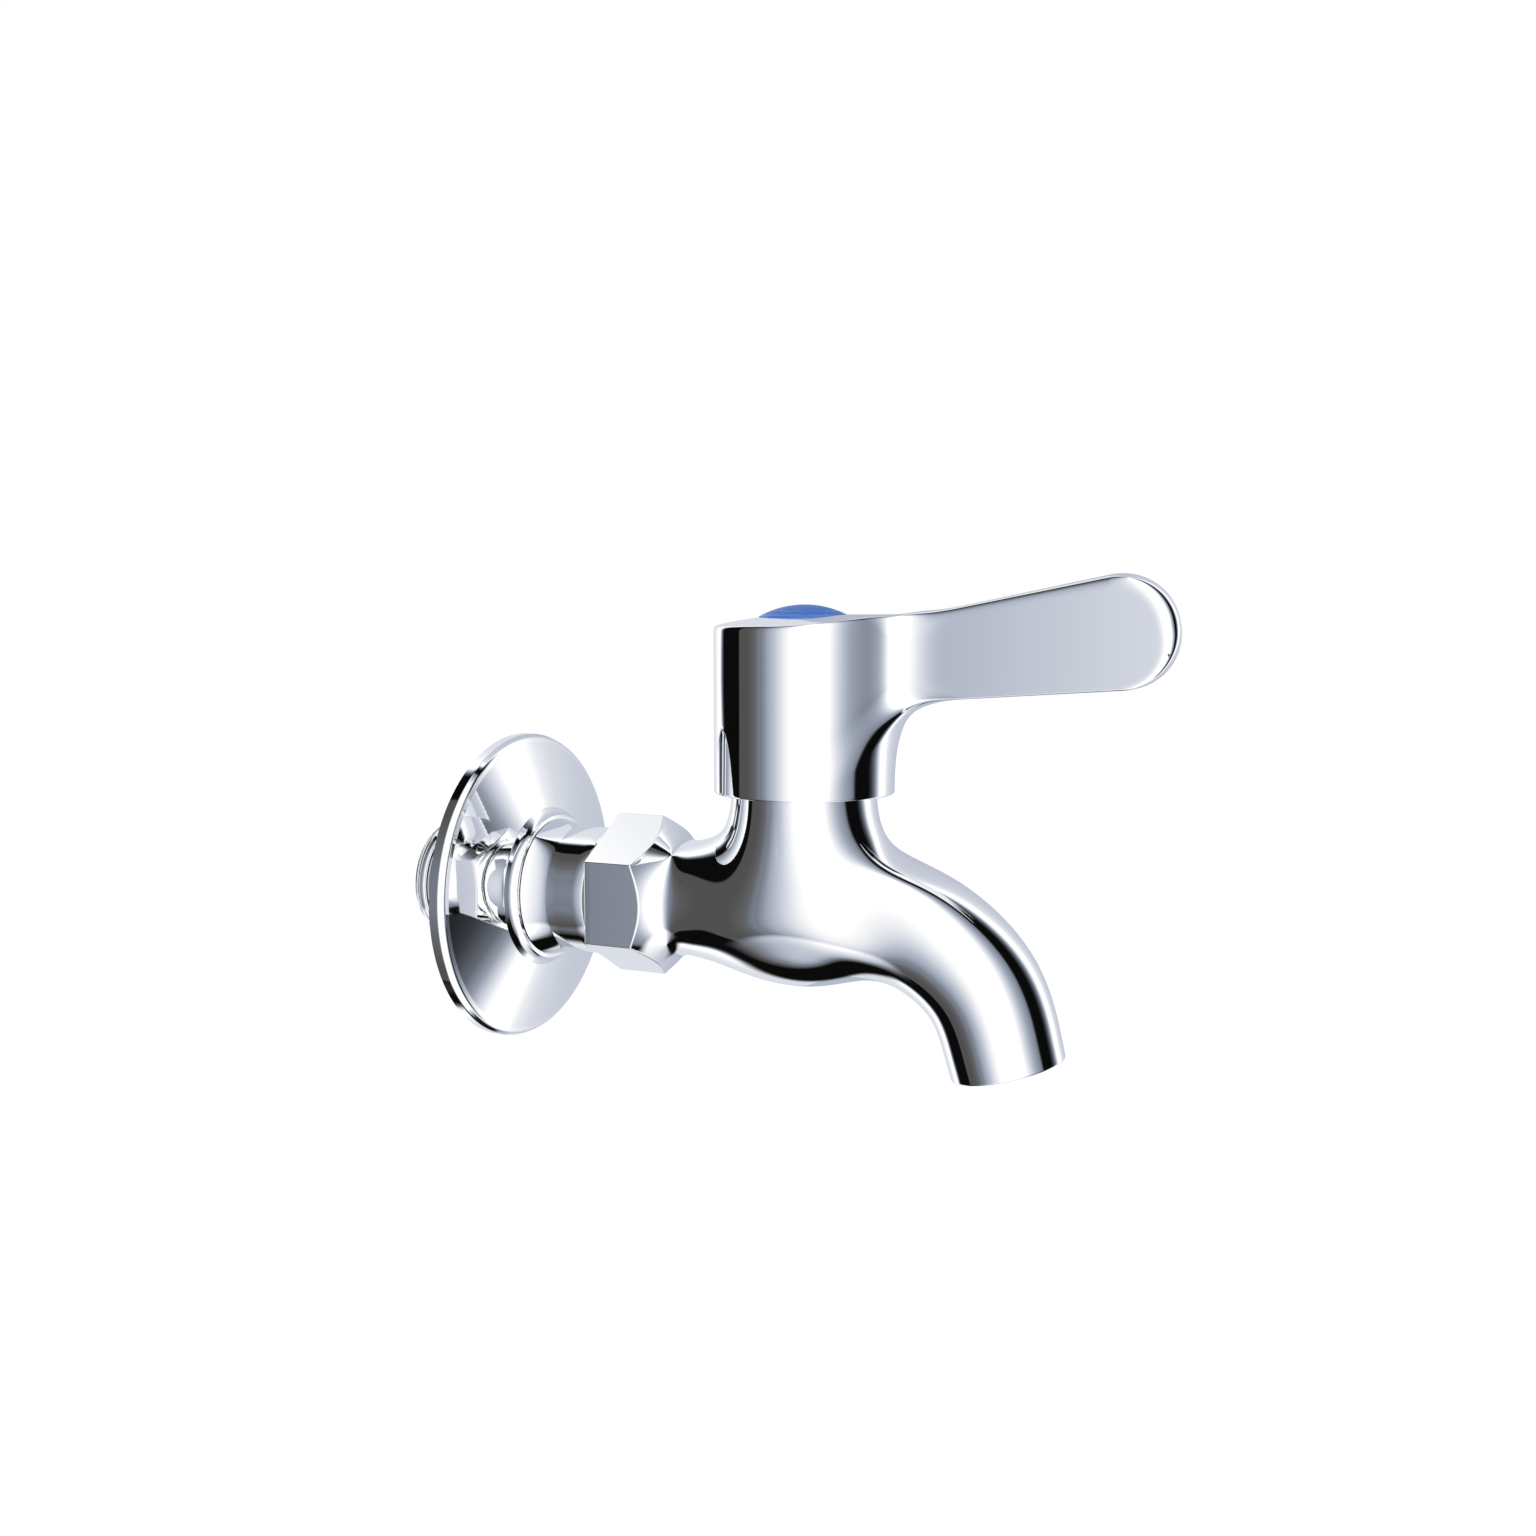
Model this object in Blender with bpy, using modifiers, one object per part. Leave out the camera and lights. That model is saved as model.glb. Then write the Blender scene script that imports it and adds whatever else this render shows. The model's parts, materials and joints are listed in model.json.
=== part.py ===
"""A wall-mounted hose bib: a cast quarter-turn tap with a threaded inlet shank, a wall flange and a lever.

The origin is where the inlet axis meets the wall. +X points out of the wall along the inlet, +Z points up.
"""

import math

import bmesh
import bpy
import numpy as np
from mathutils import Matrix, Vector

# Gap left between two pieces that touch on the real tap.
GAP = 0.0003

# Inlet thread: G 1/2, the size of a common garden or washing-machine tap.
THREAD_MAJOR_R = 0.0104775
THREAD_MINOR_R = 0.0093155
THREAD_PITCH = 0.001814
THREAD_START_X = -0.0153
THREAD_END_X = -0.0012

# Inlet shank, turned about the X axis.
BARREL_R = 0.0105
WATERWAY_R = 0.0065
SPIGOT_R = 0.0080
SPIGOT_END_X = 0.0285
SHOULDER_X = 0.0080
SHOULDER_R = 0.0114
SHOULDER_LENGTH = 0.0045
SHANK_RING_X = 0.0235
SHANK_RING_SECTION_R = 0.0004
SHANK_GROOVE_DEPTH = 0.0011
SHANK_GROOVE_HALF = 0.0008

# Wall flange.
FLANGE_R = 0.0258
FLANGE_RIM_X = 0.0018
FLANGE_WALL = 0.0012
COLLAR_R = 0.0119
COLLAR_BORE_R = 0.0109
COLLAR_END_X = 0.0075
GRIP_RING_R = 0.0124

# Hexagon on the body, with flats facing -Y and +Y.
HEX_BACK_X = 0.0196
HEX_FRONT_X = 0.02794
HEX_ACROSS_FLATS = 0.023
HEX_CORNER_R = HEX_ACROSS_FLATS / math.sqrt(3)
BOSS_R = 0.0110
BOSS_LENGTH = 0.0007

# Cast body: centre line (x, z) and radius of the round section along it, from the hexagon to the outlet.
CAST_LINE = [
    (0.0300, 0.0000, 0.0087),
    (0.0400, 0.0000, 0.0099),
    (0.0470, -0.0013, 0.0107),
    (0.0540, -0.0026, 0.0104),
    (0.0610, -0.0006, 0.0099),
    (0.0680, -0.0004, 0.0097),
    (0.0750, -0.0030, 0.0093),
    (0.0830, -0.0097, 0.0090),
    (0.0855, -0.0190, 0.0087),
    (0.0863, -0.0220, 0.0082),
]
OUTLET_TILT = math.radians(15)
CAST_BLEND = 0.0135
CAST_CELL = 0.0021

# Valve: everything on this vertical axis.
VALVE_X = 0.05294
NECK_R = 0.0113
NECK_TOP_Z = 0.0240
CHAMBER_R = 0.0086
SEAT_Z = 0.0042
PORT_R = 0.0050
LOWER_CHAMBER_Z = -0.0045
CHAMBER_BORE_R = 0.0058
OUTLET_BORE_R = 0.0064

# Ceramic cartridge, from its lower end to the top of the spindle.
CARTRIDGE_BOTTOM_Z = 0.0066
CARTRIDGE_R = 0.0081
CARTRIDGE_BORE_R = 0.0074
CARTRIDGE_STEP_Z = 0.0160
FLANGE_HEX_Z = 0.0247
FLANGE_HEX_HEIGHT = 0.0036
FLANGE_HEX_R = 0.0104
CARTRIDGE_TOP_Z = 0.0313
GLAND_R = 0.0063
GLAND_BORE_R = 0.0048
DISC_R = 0.0071
DISC_THICKNESS = 0.0025
FIXED_DISC_Z = 0.0069
SEAT_SEAL_R = 0.0079
SEAT_SEAL_BORE_R = 0.0052

# Spindle.
SPINDLE_R = 0.0043
SPINDLE_FOOT_R = 0.0069
SPINDLE_FOOT_HEIGHT = 0.0018
SPINDLE_TOP_Z = 0.0402
SPLINE_BOTTOM_Z = 0.0330
SPLINE_R = 0.0040
SPLINE_DEPTH = 0.0004
SPLINE_TEETH = 20
GROOVE_R = 0.0032
GROOVE_HEIGHT = 0.0017
RING_SECTION_R = 0.00055
LOWER_RING_Z = 0.0190
UPPER_RING_Z = 0.0230
CLIP_Z = 0.03195
CLIP_R = 0.0060
CLIP_THICKNESS = 0.0005
CLIP_GROOVE = 0.0011

# Lever handle: a cup-shaped hub over the neck, with a paddle over the outlet.
HUB_R = 0.01413
HUB_BOTTOM_Z = 0.01828
RECESS_RIM_Z = 0.0456
SKIRT_BORE_R = 0.0125
SKIRT_ROOF_Z = 0.0385
HUB_BOSS_R = 0.0085
HUB_BOSS_Z = 0.0328
SOCKET_ROOF_Z = 0.0407
RECESS_R = 0.0075
RECESS_Z = 0.0420
PADDLE_THICKNESS = 0.0054
PADDLE_ROOT = (0.0534, 0.0368)
PADDLE_ROOT_R = 0.0052
PADDLE_TIP = (0.1017, 0.0434)
PADDLE_TIP_R = 0.0083
PADDLE_EDGE_BLEND = 0.0030
PADDLE_TOP_SLOPE = 0.22
HANDLE_BLEND = 0.0150
HANDLE_CELL = 0.0018
CROWN_TOP_Z = 0.04595
CROWN_FALL = 8.8

# Pieces that fasten the handle.
BUSH_HEX_R = 0.0062
SCREW_R = 0.00175
SCREW_HEAD_R = 0.0038
SCREW_HEAD_HEIGHT = 0.0022
SCREW_TIP_Z = 0.0345
WASHER_R = 0.0043
WASHER_THICKNESS = 0.0006
BUTTON_R = 0.0072
BUTTON_TOP_Z = 0.0475

# Stream straightener in the outlet.
STRAIGHTENER_R = 0.0056
STRAIGHTENER_LENGTH = 0.0050
STRAIGHTENER_RECESS = 0.0012

ROUND = 28
FINE_ROUND = 40
SMALL_ROUND = 20

CHROME = ((0.80, 0.81, 0.83), 1.0, 0.06)
BRASS = ((0.72, 0.55, 0.25), 1.0, 0.28)
STEEL = ((0.60, 0.60, 0.61), 1.0, 0.30)
CERAMIC = ((0.88, 0.87, 0.83), 0.0, 0.25)
RUBBER = ((0.03, 0.03, 0.03), 0.0, 0.75)
BLUE = ((0.05, 0.18, 0.58), 0.0, 0.30)
ACETAL = ((0.80, 0.80, 0.78), 0.0, 0.45)


def clear_scene():
    for obj in list(bpy.data.objects):
        bpy.data.objects.remove(obj, do_unlink=True)


def new_collection(name, hidden=False):
    collection = bpy.data.collections.new(name)
    collection.hide_render = hidden
    bpy.context.scene.collection.children.link(collection)
    return collection


clear_scene()
PARTS = new_collection("hose_bib")
CUTTERS = new_collection("hose_bib_cutters", hidden=True)


def new_object(name, data, finish=None):
    """A piece of the tap where a finish is given, and otherwise a hidden cutter."""
    obj = bpy.data.objects.new(name, data)
    if finish is None:
        CUTTERS.objects.link(obj)
        obj.hide_render = True
        obj.display_type = "WIRE"
        return obj
    PARTS.objects.link(obj)
    colour, metallic, roughness = finish
    material = bpy.data.materials.new(name)
    material.use_nodes = True
    shader = material.node_tree.nodes["Principled BSDF"]
    shader.inputs["Base Color"].default_value = (*colour, 1.0)
    shader.inputs["Metallic"].default_value = metallic
    shader.inputs["Roughness"].default_value = roughness
    obj.data.materials.append(material)
    return obj


def mesh_from(bm, name):
    mesh = bpy.data.meshes.new(name)
    bmesh.ops.recalc_face_normals(bm, faces=bm.faces)
    bm.to_mesh(mesh)
    bm.free()
    return mesh


def put_on_inlet_axis(obj):
    """Turns an object made about its own Z axis so that its height runs along +X."""
    obj.rotation_euler = (0, math.pi / 2, 0)
    return obj


def put_on_valve_axis(obj):
    obj.location = (VALVE_X, 0, 0)
    return obj


def turned(name, profile, finish=None, closed=False, steps=ROUND):
    """Revolves (radius, height) points about Z. The outer side runs from the top down."""
    bm = bmesh.new()
    points = [bm.verts.new((radius, 0, height)) for radius, height in profile]
    for start, end in zip(points, points[1:] + points[:1] if closed else points[1:]):
        bm.edges.new((start, end))
    mesh = bpy.data.meshes.new(name)
    bm.to_mesh(mesh)
    bm.free()
    obj = new_object(name, mesh, finish)
    screw = obj.modifiers.new("turn", "SCREW")
    screw.steps = screw.render_steps = steps
    screw.use_merge_vertices = True
    screw.merge_threshold = 0.00001
    screw.use_smooth_shade = True
    return obj


def tube(name, outer_r, inner_r, top, bottom, finish=None, steps=ROUND):
    profile = [(inner_r, top), (outer_r, top), (outer_r, bottom), (inner_r, bottom)]
    return turned(name, profile, finish, closed=True, steps=steps)


def rod(name, radius, top, bottom, finish=None, steps=ROUND):
    return turned(name, [(0, top), (radius, top), (radius, bottom), (0, bottom)], finish, steps=steps)


def o_ring(name, centre_r, section_r, height, finish):
    bm = bmesh.new()
    bmesh.ops.create_circle(bm, segments=8, radius=section_r)
    place = Matrix.Translation((centre_r, 0, height)) @ Matrix.Rotation(math.pi / 2, 4, "X")
    bmesh.ops.transform(bm, matrix=place, verts=bm.verts)
    section = sorted(bm.verts, key=lambda v: -math.atan2(v.co.z - height, v.co.x - centre_r))
    profile = [(v.co.x, v.co.z) for v in section]
    bm.free()
    return turned(name, profile, finish, closed=True, steps=SMALL_ROUND)


def prism(name, outline, top, bottom, finish=None):
    """A flat outline of (x, y) points, made as thick as the space between two heights."""
    bm = bmesh.new()
    base = bm.faces.new([bm.verts.new((x, y, bottom)) for x, y in outline])
    grown = bmesh.ops.extrude_face_region(bm, geom=[base])
    lifted = [item for item in grown["geom"] if isinstance(item, bmesh.types.BMVert)]
    bmesh.ops.translate(bm, vec=(0, 0, top - bottom), verts=lifted)
    return new_object(name, mesh_from(bm, name), finish)


def polygon(sides, radius, first_angle=0.0):
    steps = [first_angle + 2 * math.pi * i / sides for i in range(sides)]
    return [(radius * math.cos(a), radius * math.sin(a)) for a in steps]


def spline_outline(tip_r, root_r, teeth):
    """A toothed outline: two points on each tip and two in each root."""
    points = []
    for i in range(4 * teeth):
        radius = tip_r if i % 4 < 2 else root_r
        angle = 2 * math.pi * i / (4 * teeth)
        points.append((radius * math.cos(angle), radius * math.sin(angle)))
    return points


def arc(centre, radius, start, end, count):
    """Points on a circle, by angle in radians, both ends included."""
    angles = np.linspace(start, end, count)
    return [(centre[0] + radius * math.cos(a), centre[1] + radius * math.sin(a)) for a in angles]


def combine(obj, other, operation="DIFFERENCE"):
    step = obj.modifiers.new(other.name, "BOOLEAN")
    step.operation = operation
    step.object = other
    step.solver = "EXACT"


def settle(obj, crease=35):
    """Applies the modifiers, so that the shading can keep its sharp edges."""
    graph = bpy.context.evaluated_depsgraph_get()
    mesh = bpy.data.meshes.new_from_object(obj.evaluated_get(graph))
    mesh.name = obj.name
    obj.modifiers.clear()
    obj.data = mesh
    mesh.shade_smooth()
    mesh.set_sharp_from_angle(angle=math.radians(crease))
    return obj


def smooth_line(points, steps):
    """A uniform cubic B-spline through its first and last points, as rows of coordinates."""
    points = np.array(points, float)
    frame = np.vstack([2 * points[0] - points[1], points, 2 * points[-1] - points[-2]])
    t = np.linspace(0, 1, steps, endpoint=False)[:, None]
    weights = [(1 - t) ** 3, 3 * t**3 - 6 * t**2 + 4, -3 * t**3 + 3 * t**2 + 3 * t + 1, t**3]
    spans = [sum(w * frame[i + j] for j, w in enumerate(weights)) / 6 for i in range(len(frame) - 3)]
    return np.vstack(spans + [points[-1:]])


def pipe_mesh(name, line, resolution):
    """A round bar along (x, z, radius) rows, as a welded mesh."""
    curve = bpy.data.curves.new(name, "CURVE")
    curve.dimensions = "3D"
    curve.bevel_depth = 1.0
    curve.bevel_resolution = resolution
    curve.use_fill_caps = True
    path = curve.splines.new("POLY")
    path.points.add(len(line) - 1)
    for point, (x, z, radius) in zip(path.points, line):
        point.co = (x, 0, z, 1)
        point.radius = radius
    holder = bpy.data.objects.new(name, curve)
    bpy.context.scene.collection.objects.link(holder)
    graph = bpy.context.evaluated_depsgraph_get()
    mesh = bpy.data.meshes.new_from_object(holder.evaluated_get(graph))
    bpy.data.objects.remove(holder)
    bm = bmesh.new()
    bm.from_mesh(mesh)
    bmesh.ops.remove_doubles(bm, verts=bm.verts, dist=0.00001)
    bmesh.ops.recalc_face_normals(bm, faces=bm.faces)
    bm.to_mesh(mesh)
    bm.free()
    return mesh


def helical_thread(name, start, end):
    """A threaded bar about Z: one pitch of the flank, screwed up the bar and closed at both ends."""
    pitch = THREAD_PITCH
    flank = [
        (THREAD_MAJOR_R, 0.00),
        (THREAD_MAJOR_R, 0.12),
        (THREAD_MINOR_R, 0.46),
        (THREAD_MINOR_R, 0.62),
        (THREAD_MAJOR_R, 0.96),
    ]
    turns = math.ceil((end - start) / pitch) + 2
    steps = SMALL_ROUND
    bm = bmesh.new()
    columns = []
    for i in range(turns * steps + 1):
        angle = 2 * math.pi * i / steps
        base = start - pitch + pitch * i / steps
        columns.append(
            [bm.verts.new((r * math.cos(angle), r * math.sin(angle), base + pitch * h)) for r, h in flank[:4]]
        )
    rows = len(flank) - 1
    for i in range(turns * steps):
        for j in range(rows - 1):
            bm.faces.new((columns[i][j], columns[i + 1][j], columns[i + 1][j + 1], columns[i][j + 1]))
        above = i + steps
        if above < turns * steps:
            bm.faces.new((columns[i][-1], columns[i + 1][-1], columns[above + 1][0], columns[above][0]))
    rim = [edge for edge in bm.edges if edge.is_boundary]
    grown = bmesh.ops.extrude_edge_only(bm, edges=rim)["geom"]
    ends = [item for item in grown if isinstance(item, bmesh.types.BMVert)]
    middle = (start + end) / 2
    lower = [v for v in ends if v.co.z < middle]
    upper = [v for v in ends if v.co.z > middle]
    for rim_points in (lower, upper):
        level = sum(v.co.z for v in rim_points) / len(rim_points)
        bmesh.ops.pointmerge(bm, verts=rim_points, merge_co=(0, 0, level))
    return new_object(name, mesh_from(bm, name))


def inlet_shank():
    """Threaded nipple and smooth barrel in one turned piece, with a flared shoulder in front of the flange."""
    shoulder_end = SHOULDER_X + SHOULDER_LENGTH
    barrel_end = HEX_BACK_X - BOSS_LENGTH - GAP
    fall = SHOULDER_R - BARREL_R
    cove = []
    for i in range(6):
        part = i / 5
        cove.append((BARREL_R + fall * (1 - part) ** 2, SHOULDER_X + SHOULDER_LENGTH * part))
    barrel = [
        (0, SPIGOT_END_X),
        (SPIGOT_R - 0.0005, SPIGOT_END_X),
        (SPIGOT_R, SPIGOT_END_X - 0.0005),
        (SPIGOT_R, SHANK_RING_X + SHANK_GROOVE_HALF),
        (SPIGOT_R - SHANK_GROOVE_DEPTH, SHANK_RING_X + SHANK_GROOVE_HALF),
        (SPIGOT_R - SHANK_GROOVE_DEPTH, SHANK_RING_X - SHANK_GROOVE_HALF),
        (SPIGOT_R, SHANK_RING_X - SHANK_GROOVE_HALF),
        (SPIGOT_R, barrel_end),
        (BARREL_R - 0.0003, barrel_end),
        (BARREL_R, barrel_end - 0.0003),
        (BARREL_R, shoulder_end + 0.002),
        *reversed(cove),
        (BARREL_R, SHOULDER_X),
        (BARREL_R, THREAD_END_X + 0.0004),
        (THREAD_MINOR_R - 0.0003, THREAD_END_X - 0.0002),
        (THREAD_MINOR_R - 0.0003, THREAD_END_X - 0.0014),
        (0, THREAD_END_X - 0.0014),
    ]
    shank = put_on_inlet_axis(turned("inlet_shank", barrel, CHROME, steps=FINE_ROUND))
    chamfer = THREAD_MAJOR_R - THREAD_MINOR_R + 0.0003
    blank = [
        (0, THREAD_END_X + 0.0010),
        (THREAD_MINOR_R - 0.0008, THREAD_END_X + 0.0010),
        (THREAD_MINOR_R - 0.0008, THREAD_END_X - 0.0005),
        (THREAD_MAJOR_R + 0.0004, THREAD_END_X - 0.0016),
        (THREAD_MAJOR_R + 0.0004, THREAD_START_X + chamfer),
        (THREAD_MINOR_R, THREAD_START_X),
        (0, THREAD_START_X),
    ]
    screw = put_on_inlet_axis(helical_thread("shank_thread", THREAD_START_X, THREAD_END_X + 0.0020))
    combine(screw, put_on_inlet_axis(turned("shank_thread_blank", blank, steps=FINE_ROUND)), "INTERSECT")
    combine(shank, screw, "UNION")
    bore = rod("shank_waterway", WATERWAY_R, SPIGOT_END_X + 0.002, THREAD_START_X - 0.002)
    combine(shank, put_on_inlet_axis(bore))
    settle(shank)


def shank_seal():
    centre = SPIGOT_R - SHANK_GROOVE_DEPTH + GAP + SHANK_RING_SECTION_R
    put_on_inlet_axis(o_ring("shank_seal", centre, SHANK_RING_SECTION_R, SHANK_RING_X, RUBBER))


def wall_flange():
    """A pressed shell: a straight rim, a shallow dome and a collar that ends in a bead."""
    dome = []
    for i in range(6):
        part = i / 5
        radius = COLLAR_R + 0.0011 + (FLANGE_R - 0.0008 - COLLAR_R - 0.0011) * (1 - part)
        dome.append((radius, FLANGE_RIM_X + 0.0002 + 0.0024 * part**1.15))
    fillet = arc((COLLAR_R + 0.0014, 0.0058), 0.0014, 1.45 * math.pi, math.pi, 4)
    bead = arc((COLLAR_R, COLLAR_END_X - 0.0006), 0.00045, -0.5 * math.pi, 0.5 * math.pi, 5)
    front = [(FLANGE_R, 0), (FLANGE_R, FLANGE_RIM_X - 0.0005), (FLANGE_R - 0.0002, FLANGE_RIM_X)]
    front += dome + fillet + bead + [(COLLAR_R - 0.0001, COLLAR_END_X), (COLLAR_BORE_R, COLLAR_END_X)]
    back = [(COLLAR_BORE_R, 0.0032), (GRIP_RING_R + GAP, 0.0032)]
    back += [(radius - 0.0004, height - FLANGE_WALL) for radius, height in reversed(dome[1:4])]
    back += [(FLANGE_R - FLANGE_WALL, 0.0005), (FLANGE_R - FLANGE_WALL, 0)]
    outline = list(reversed(front + back))
    settle(put_on_inlet_axis(turned("wall_flange", outline, CHROME, closed=True, steps=FINE_ROUND)))


def flange_grip_ring():
    ring = tube("flange_grip_ring", GRIP_RING_R, BARREL_R + GAP, 0.0029, 0.0009, RUBBER)
    put_on_inlet_axis(ring)


def blend(first, second, width):
    """The nearer of two distances, with the hollow corner between their surfaces filled."""
    overlap = np.maximum(width - np.abs(first - second), 0) / width
    return np.minimum(first, second) - overlap**3 * width / 6


def cast_distance(points):
    """How far points are outside the casting: a round section along a line, joined to the neck."""
    line = smooth_line(CAST_LINE, 12)
    first = line[0] + (line[0] - line[1]) * 20
    last = line[-1] + (line[-1] - line[-2]) * 20
    line = np.vstack([first, line, last])
    start, along = line[:-1], np.diff(line, axis=0)
    flat = points[:, [0, 2]]
    part = ((flat[:, None] - start[:, :2]) * along[:, :2]).sum(2) / (along[:, :2] ** 2).sum(1)
    part = np.clip(part, 0, 1)
    offset = np.linalg.norm(flat[:, None] - start[:, :2] - part[..., None] * along[:, :2], axis=2)
    nearest = offset.argmin(axis=1)
    rows = np.arange(len(points))
    radius = start[nearest, 2] + part[rows, nearest] * along[nearest, 2]
    arm = np.hypot(offset[rows, nearest], points[:, 1]) - radius
    neck = np.hypot(points[:, 0] - VALVE_X, points[:, 1]) - NECK_R
    return blend(arm, np.maximum(neck, -points[:, 2]), CAST_BLEND)


def handle_distance(points):
    """How far points are outside the handle: an endless hub joined to a flat paddle with a round end."""
    hub = np.hypot(points[:, 0] - VALVE_X, points[:, 1]) - HUB_R
    root, tip = np.array(PADDLE_ROOT), np.array(PADDLE_TIP)
    length = np.linalg.norm(tip - root)
    along = (tip - root) / length
    offset = points[:, [0, 2]] - root
    forward = offset @ along
    sideways = np.abs(offset @ (-along[1], along[0]))
    widening = (PADDLE_TIP_R - PADDLE_ROOT_R) / length
    forward += sideways * widening / math.sqrt(1 - widening**2)
    place = np.clip(forward, 0, length)
    centre = root + place[:, None] * along
    outline = np.linalg.norm(points[:, [0, 2]] - centre, axis=1) - PADDLE_ROOT_R - widening * place
    faces = np.abs(points[:, 1]) - PADDLE_THICKNESS / 2
    paddle = -blend(-outline, -faces, PADDLE_EDGE_BLEND)
    return blend(hub, paddle, HANDLE_BLEND)


def press_onto(mesh, distance, reach):
    """Moves the points of a rough mesh onto the surface where the distance is zero, if within reach."""
    points = np.empty(len(mesh.vertices) * 3, np.float32)
    mesh.vertices.foreach_get("co", points)
    points = points.reshape(-1, 3).astype(float)
    probe = 0.00005
    for _ in range(5):
        away = distance(points)
        slope = np.stack([distance(points + probe * axis) - away for axis in np.eye(3)], axis=1) / probe
        move = slope * (away / np.maximum((slope**2).sum(1), 0.25))[:, None]
        move[np.abs(away) > reach] = 0
        points -= move
    mesh.vertices.foreach_set("co", points.astype(np.float32).ravel())
    mesh.update()


def fused(obj, cell):
    """Turns the overlapping bodies of one object into one skin of even cells."""
    fuse = obj.modifiers.new("fuse", "REMESH")
    fuse.mode = "VOXEL"
    fuse.voxel_size = cell
    return settle(obj)


def cast_form():
    """The outside of the casting, with its three ends left long."""
    line = smooth_line(CAST_LINE, 6)
    line = np.vstack([line[0] - (0.004, 0, 0), line, line[-1] + (line[-1] - line[-2]) * 4])
    rough = pipe_mesh("tap_body", line, 8)
    bm = bmesh.new()
    bm.from_mesh(rough)
    neck = Matrix.Translation((VALVE_X, 0, 0.013))
    size = {"segments": ROUND, "radius1": NECK_R, "radius2": NECK_R, "depth": 0.028}
    bmesh.ops.create_cone(bm, cap_ends=True, matrix=neck, **size)
    bm.to_mesh(rough)
    bm.free()
    form = fused(new_object("tap_body", rough, CHROME), CAST_CELL)
    press_onto(form.data, cast_distance, 0.0025)
    return form


def end_cutter(name, place, direction):
    """A block that removes everything beyond a plane."""
    size = 0.040
    bm = bmesh.new()
    bmesh.ops.create_cube(bm, size=size)
    turn = Vector((0, 0, 1)).rotation_difference(Vector(direction)).to_matrix().to_4x4()
    middle = Vector(place) + Vector(direction).normalized() * size / 2
    bmesh.ops.transform(bm, matrix=Matrix.Translation(middle) @ turn, verts=bm.verts)
    return new_object(name, mesh_from(bm, name))


def outlet_direction():
    return Vector((math.sin(OUTLET_TILT), 0, -math.cos(OUTLET_TILT)))


def outlet_centre():
    return Vector((CAST_LINE[-1][0], 0, CAST_LINE[-1][1]))


def hexagon():
    """The spanner hexagon and the cove in front of it, which runs into the casting."""
    outline = polygon(6, HEX_CORNER_R, 0)
    hexagonal = put_on_inlet_axis(prism("hexagon", outline, 0.040, HEX_BACK_X))
    throat_r = CAST_LINE[0][2] + 0.00002
    cove = []
    for i in range(8):
        part = i / 7
        cove.append((throat_r + (HEX_CORNER_R - throat_r) * part**2.2, HEX_FRONT_X + 0.0078 * (1 - part)))
    lathe = [(0, HEX_FRONT_X + 0.0078)] + cove + [(HEX_CORNER_R + 0.001, HEX_FRONT_X - 0.001)]
    lathe += [(HEX_CORNER_R + 0.001, HEX_BACK_X - 0.001), (0, HEX_BACK_X - 0.001)]
    combine(hexagonal, put_on_inlet_axis(turned("hexagon_cove", lathe, steps=FINE_ROUND)), "INTERSECT")
    return hexagonal


def tap_body():
    """One casting: hexagon, belly, valve neck and outlet, with the waterways and the valve seat inside."""
    form = cast_form()
    way = outlet_direction()
    tip = outlet_centre()
    combine(form, end_cutter("inlet_end", (0.0288, 0, 0), (-1, 0, 0)))
    combine(form, end_cutter("neck_end", (VALVE_X, 0, NECK_TOP_Z), (0, 0, 1)))
    combine(form, end_cutter("outlet_end", tip, way))
    combine(form, hexagon(), "UNION")
    boss = rod("hexagon_boss", BOSS_R, HEX_BACK_X + 0.001, HEX_BACK_X - BOSS_LENGTH)
    combine(form, put_on_inlet_axis(boss), "UNION")
    socket = rod("shank_socket", SPIGOT_R + GAP, SPIGOT_END_X + GAP, HEX_BACK_X - 0.002)
    combine(form, put_on_inlet_axis(socket))
    inlet = [
        (0.0250, 0.0000, WATERWAY_R),
        (0.0360, 0.0000, WATERWAY_R),
        (0.0420, -0.0020, 0.0061),
        (0.0480, -0.0042, CHAMBER_BORE_R),
        (VALVE_X + 0.0005, LOWER_CHAMBER_Z, CHAMBER_BORE_R),
    ]
    combine(form, new_object("inlet_waterway", pipe_mesh("inlet_waterway", smooth_line(inlet, 4), 4)))
    port = rod("seat_port", PORT_R, SEAT_Z + 0.001, LOWER_CHAMBER_Z, steps=SMALL_ROUND)
    combine(form, put_on_valve_axis(port))
    chamber = rod("valve_chamber", CHAMBER_R, NECK_TOP_Z + 0.002, SEAT_Z)
    combine(form, put_on_valve_axis(chamber))
    outlet = [
        (VALVE_X + 0.0030, 0.0104, 0.0056),
        (VALVE_X + 0.0085, 0.0066, 0.0056),
        (0.0682, 0.0008, 0.0058),
        (0.0748, -0.0040, 0.0060),
        (0.0806, -0.0092, 0.0061),
        (0.0844, -0.0157, 0.0062),
        (tip.x, tip.z, OUTLET_BORE_R),
        (tip.x + way.x * 0.004, tip.z + way.z * 0.004, OUTLET_BORE_R),
    ]
    combine(form, new_object("outlet_waterway", pipe_mesh("outlet_waterway", smooth_line(outlet, 4), 4)))
    settle(form)


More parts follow.
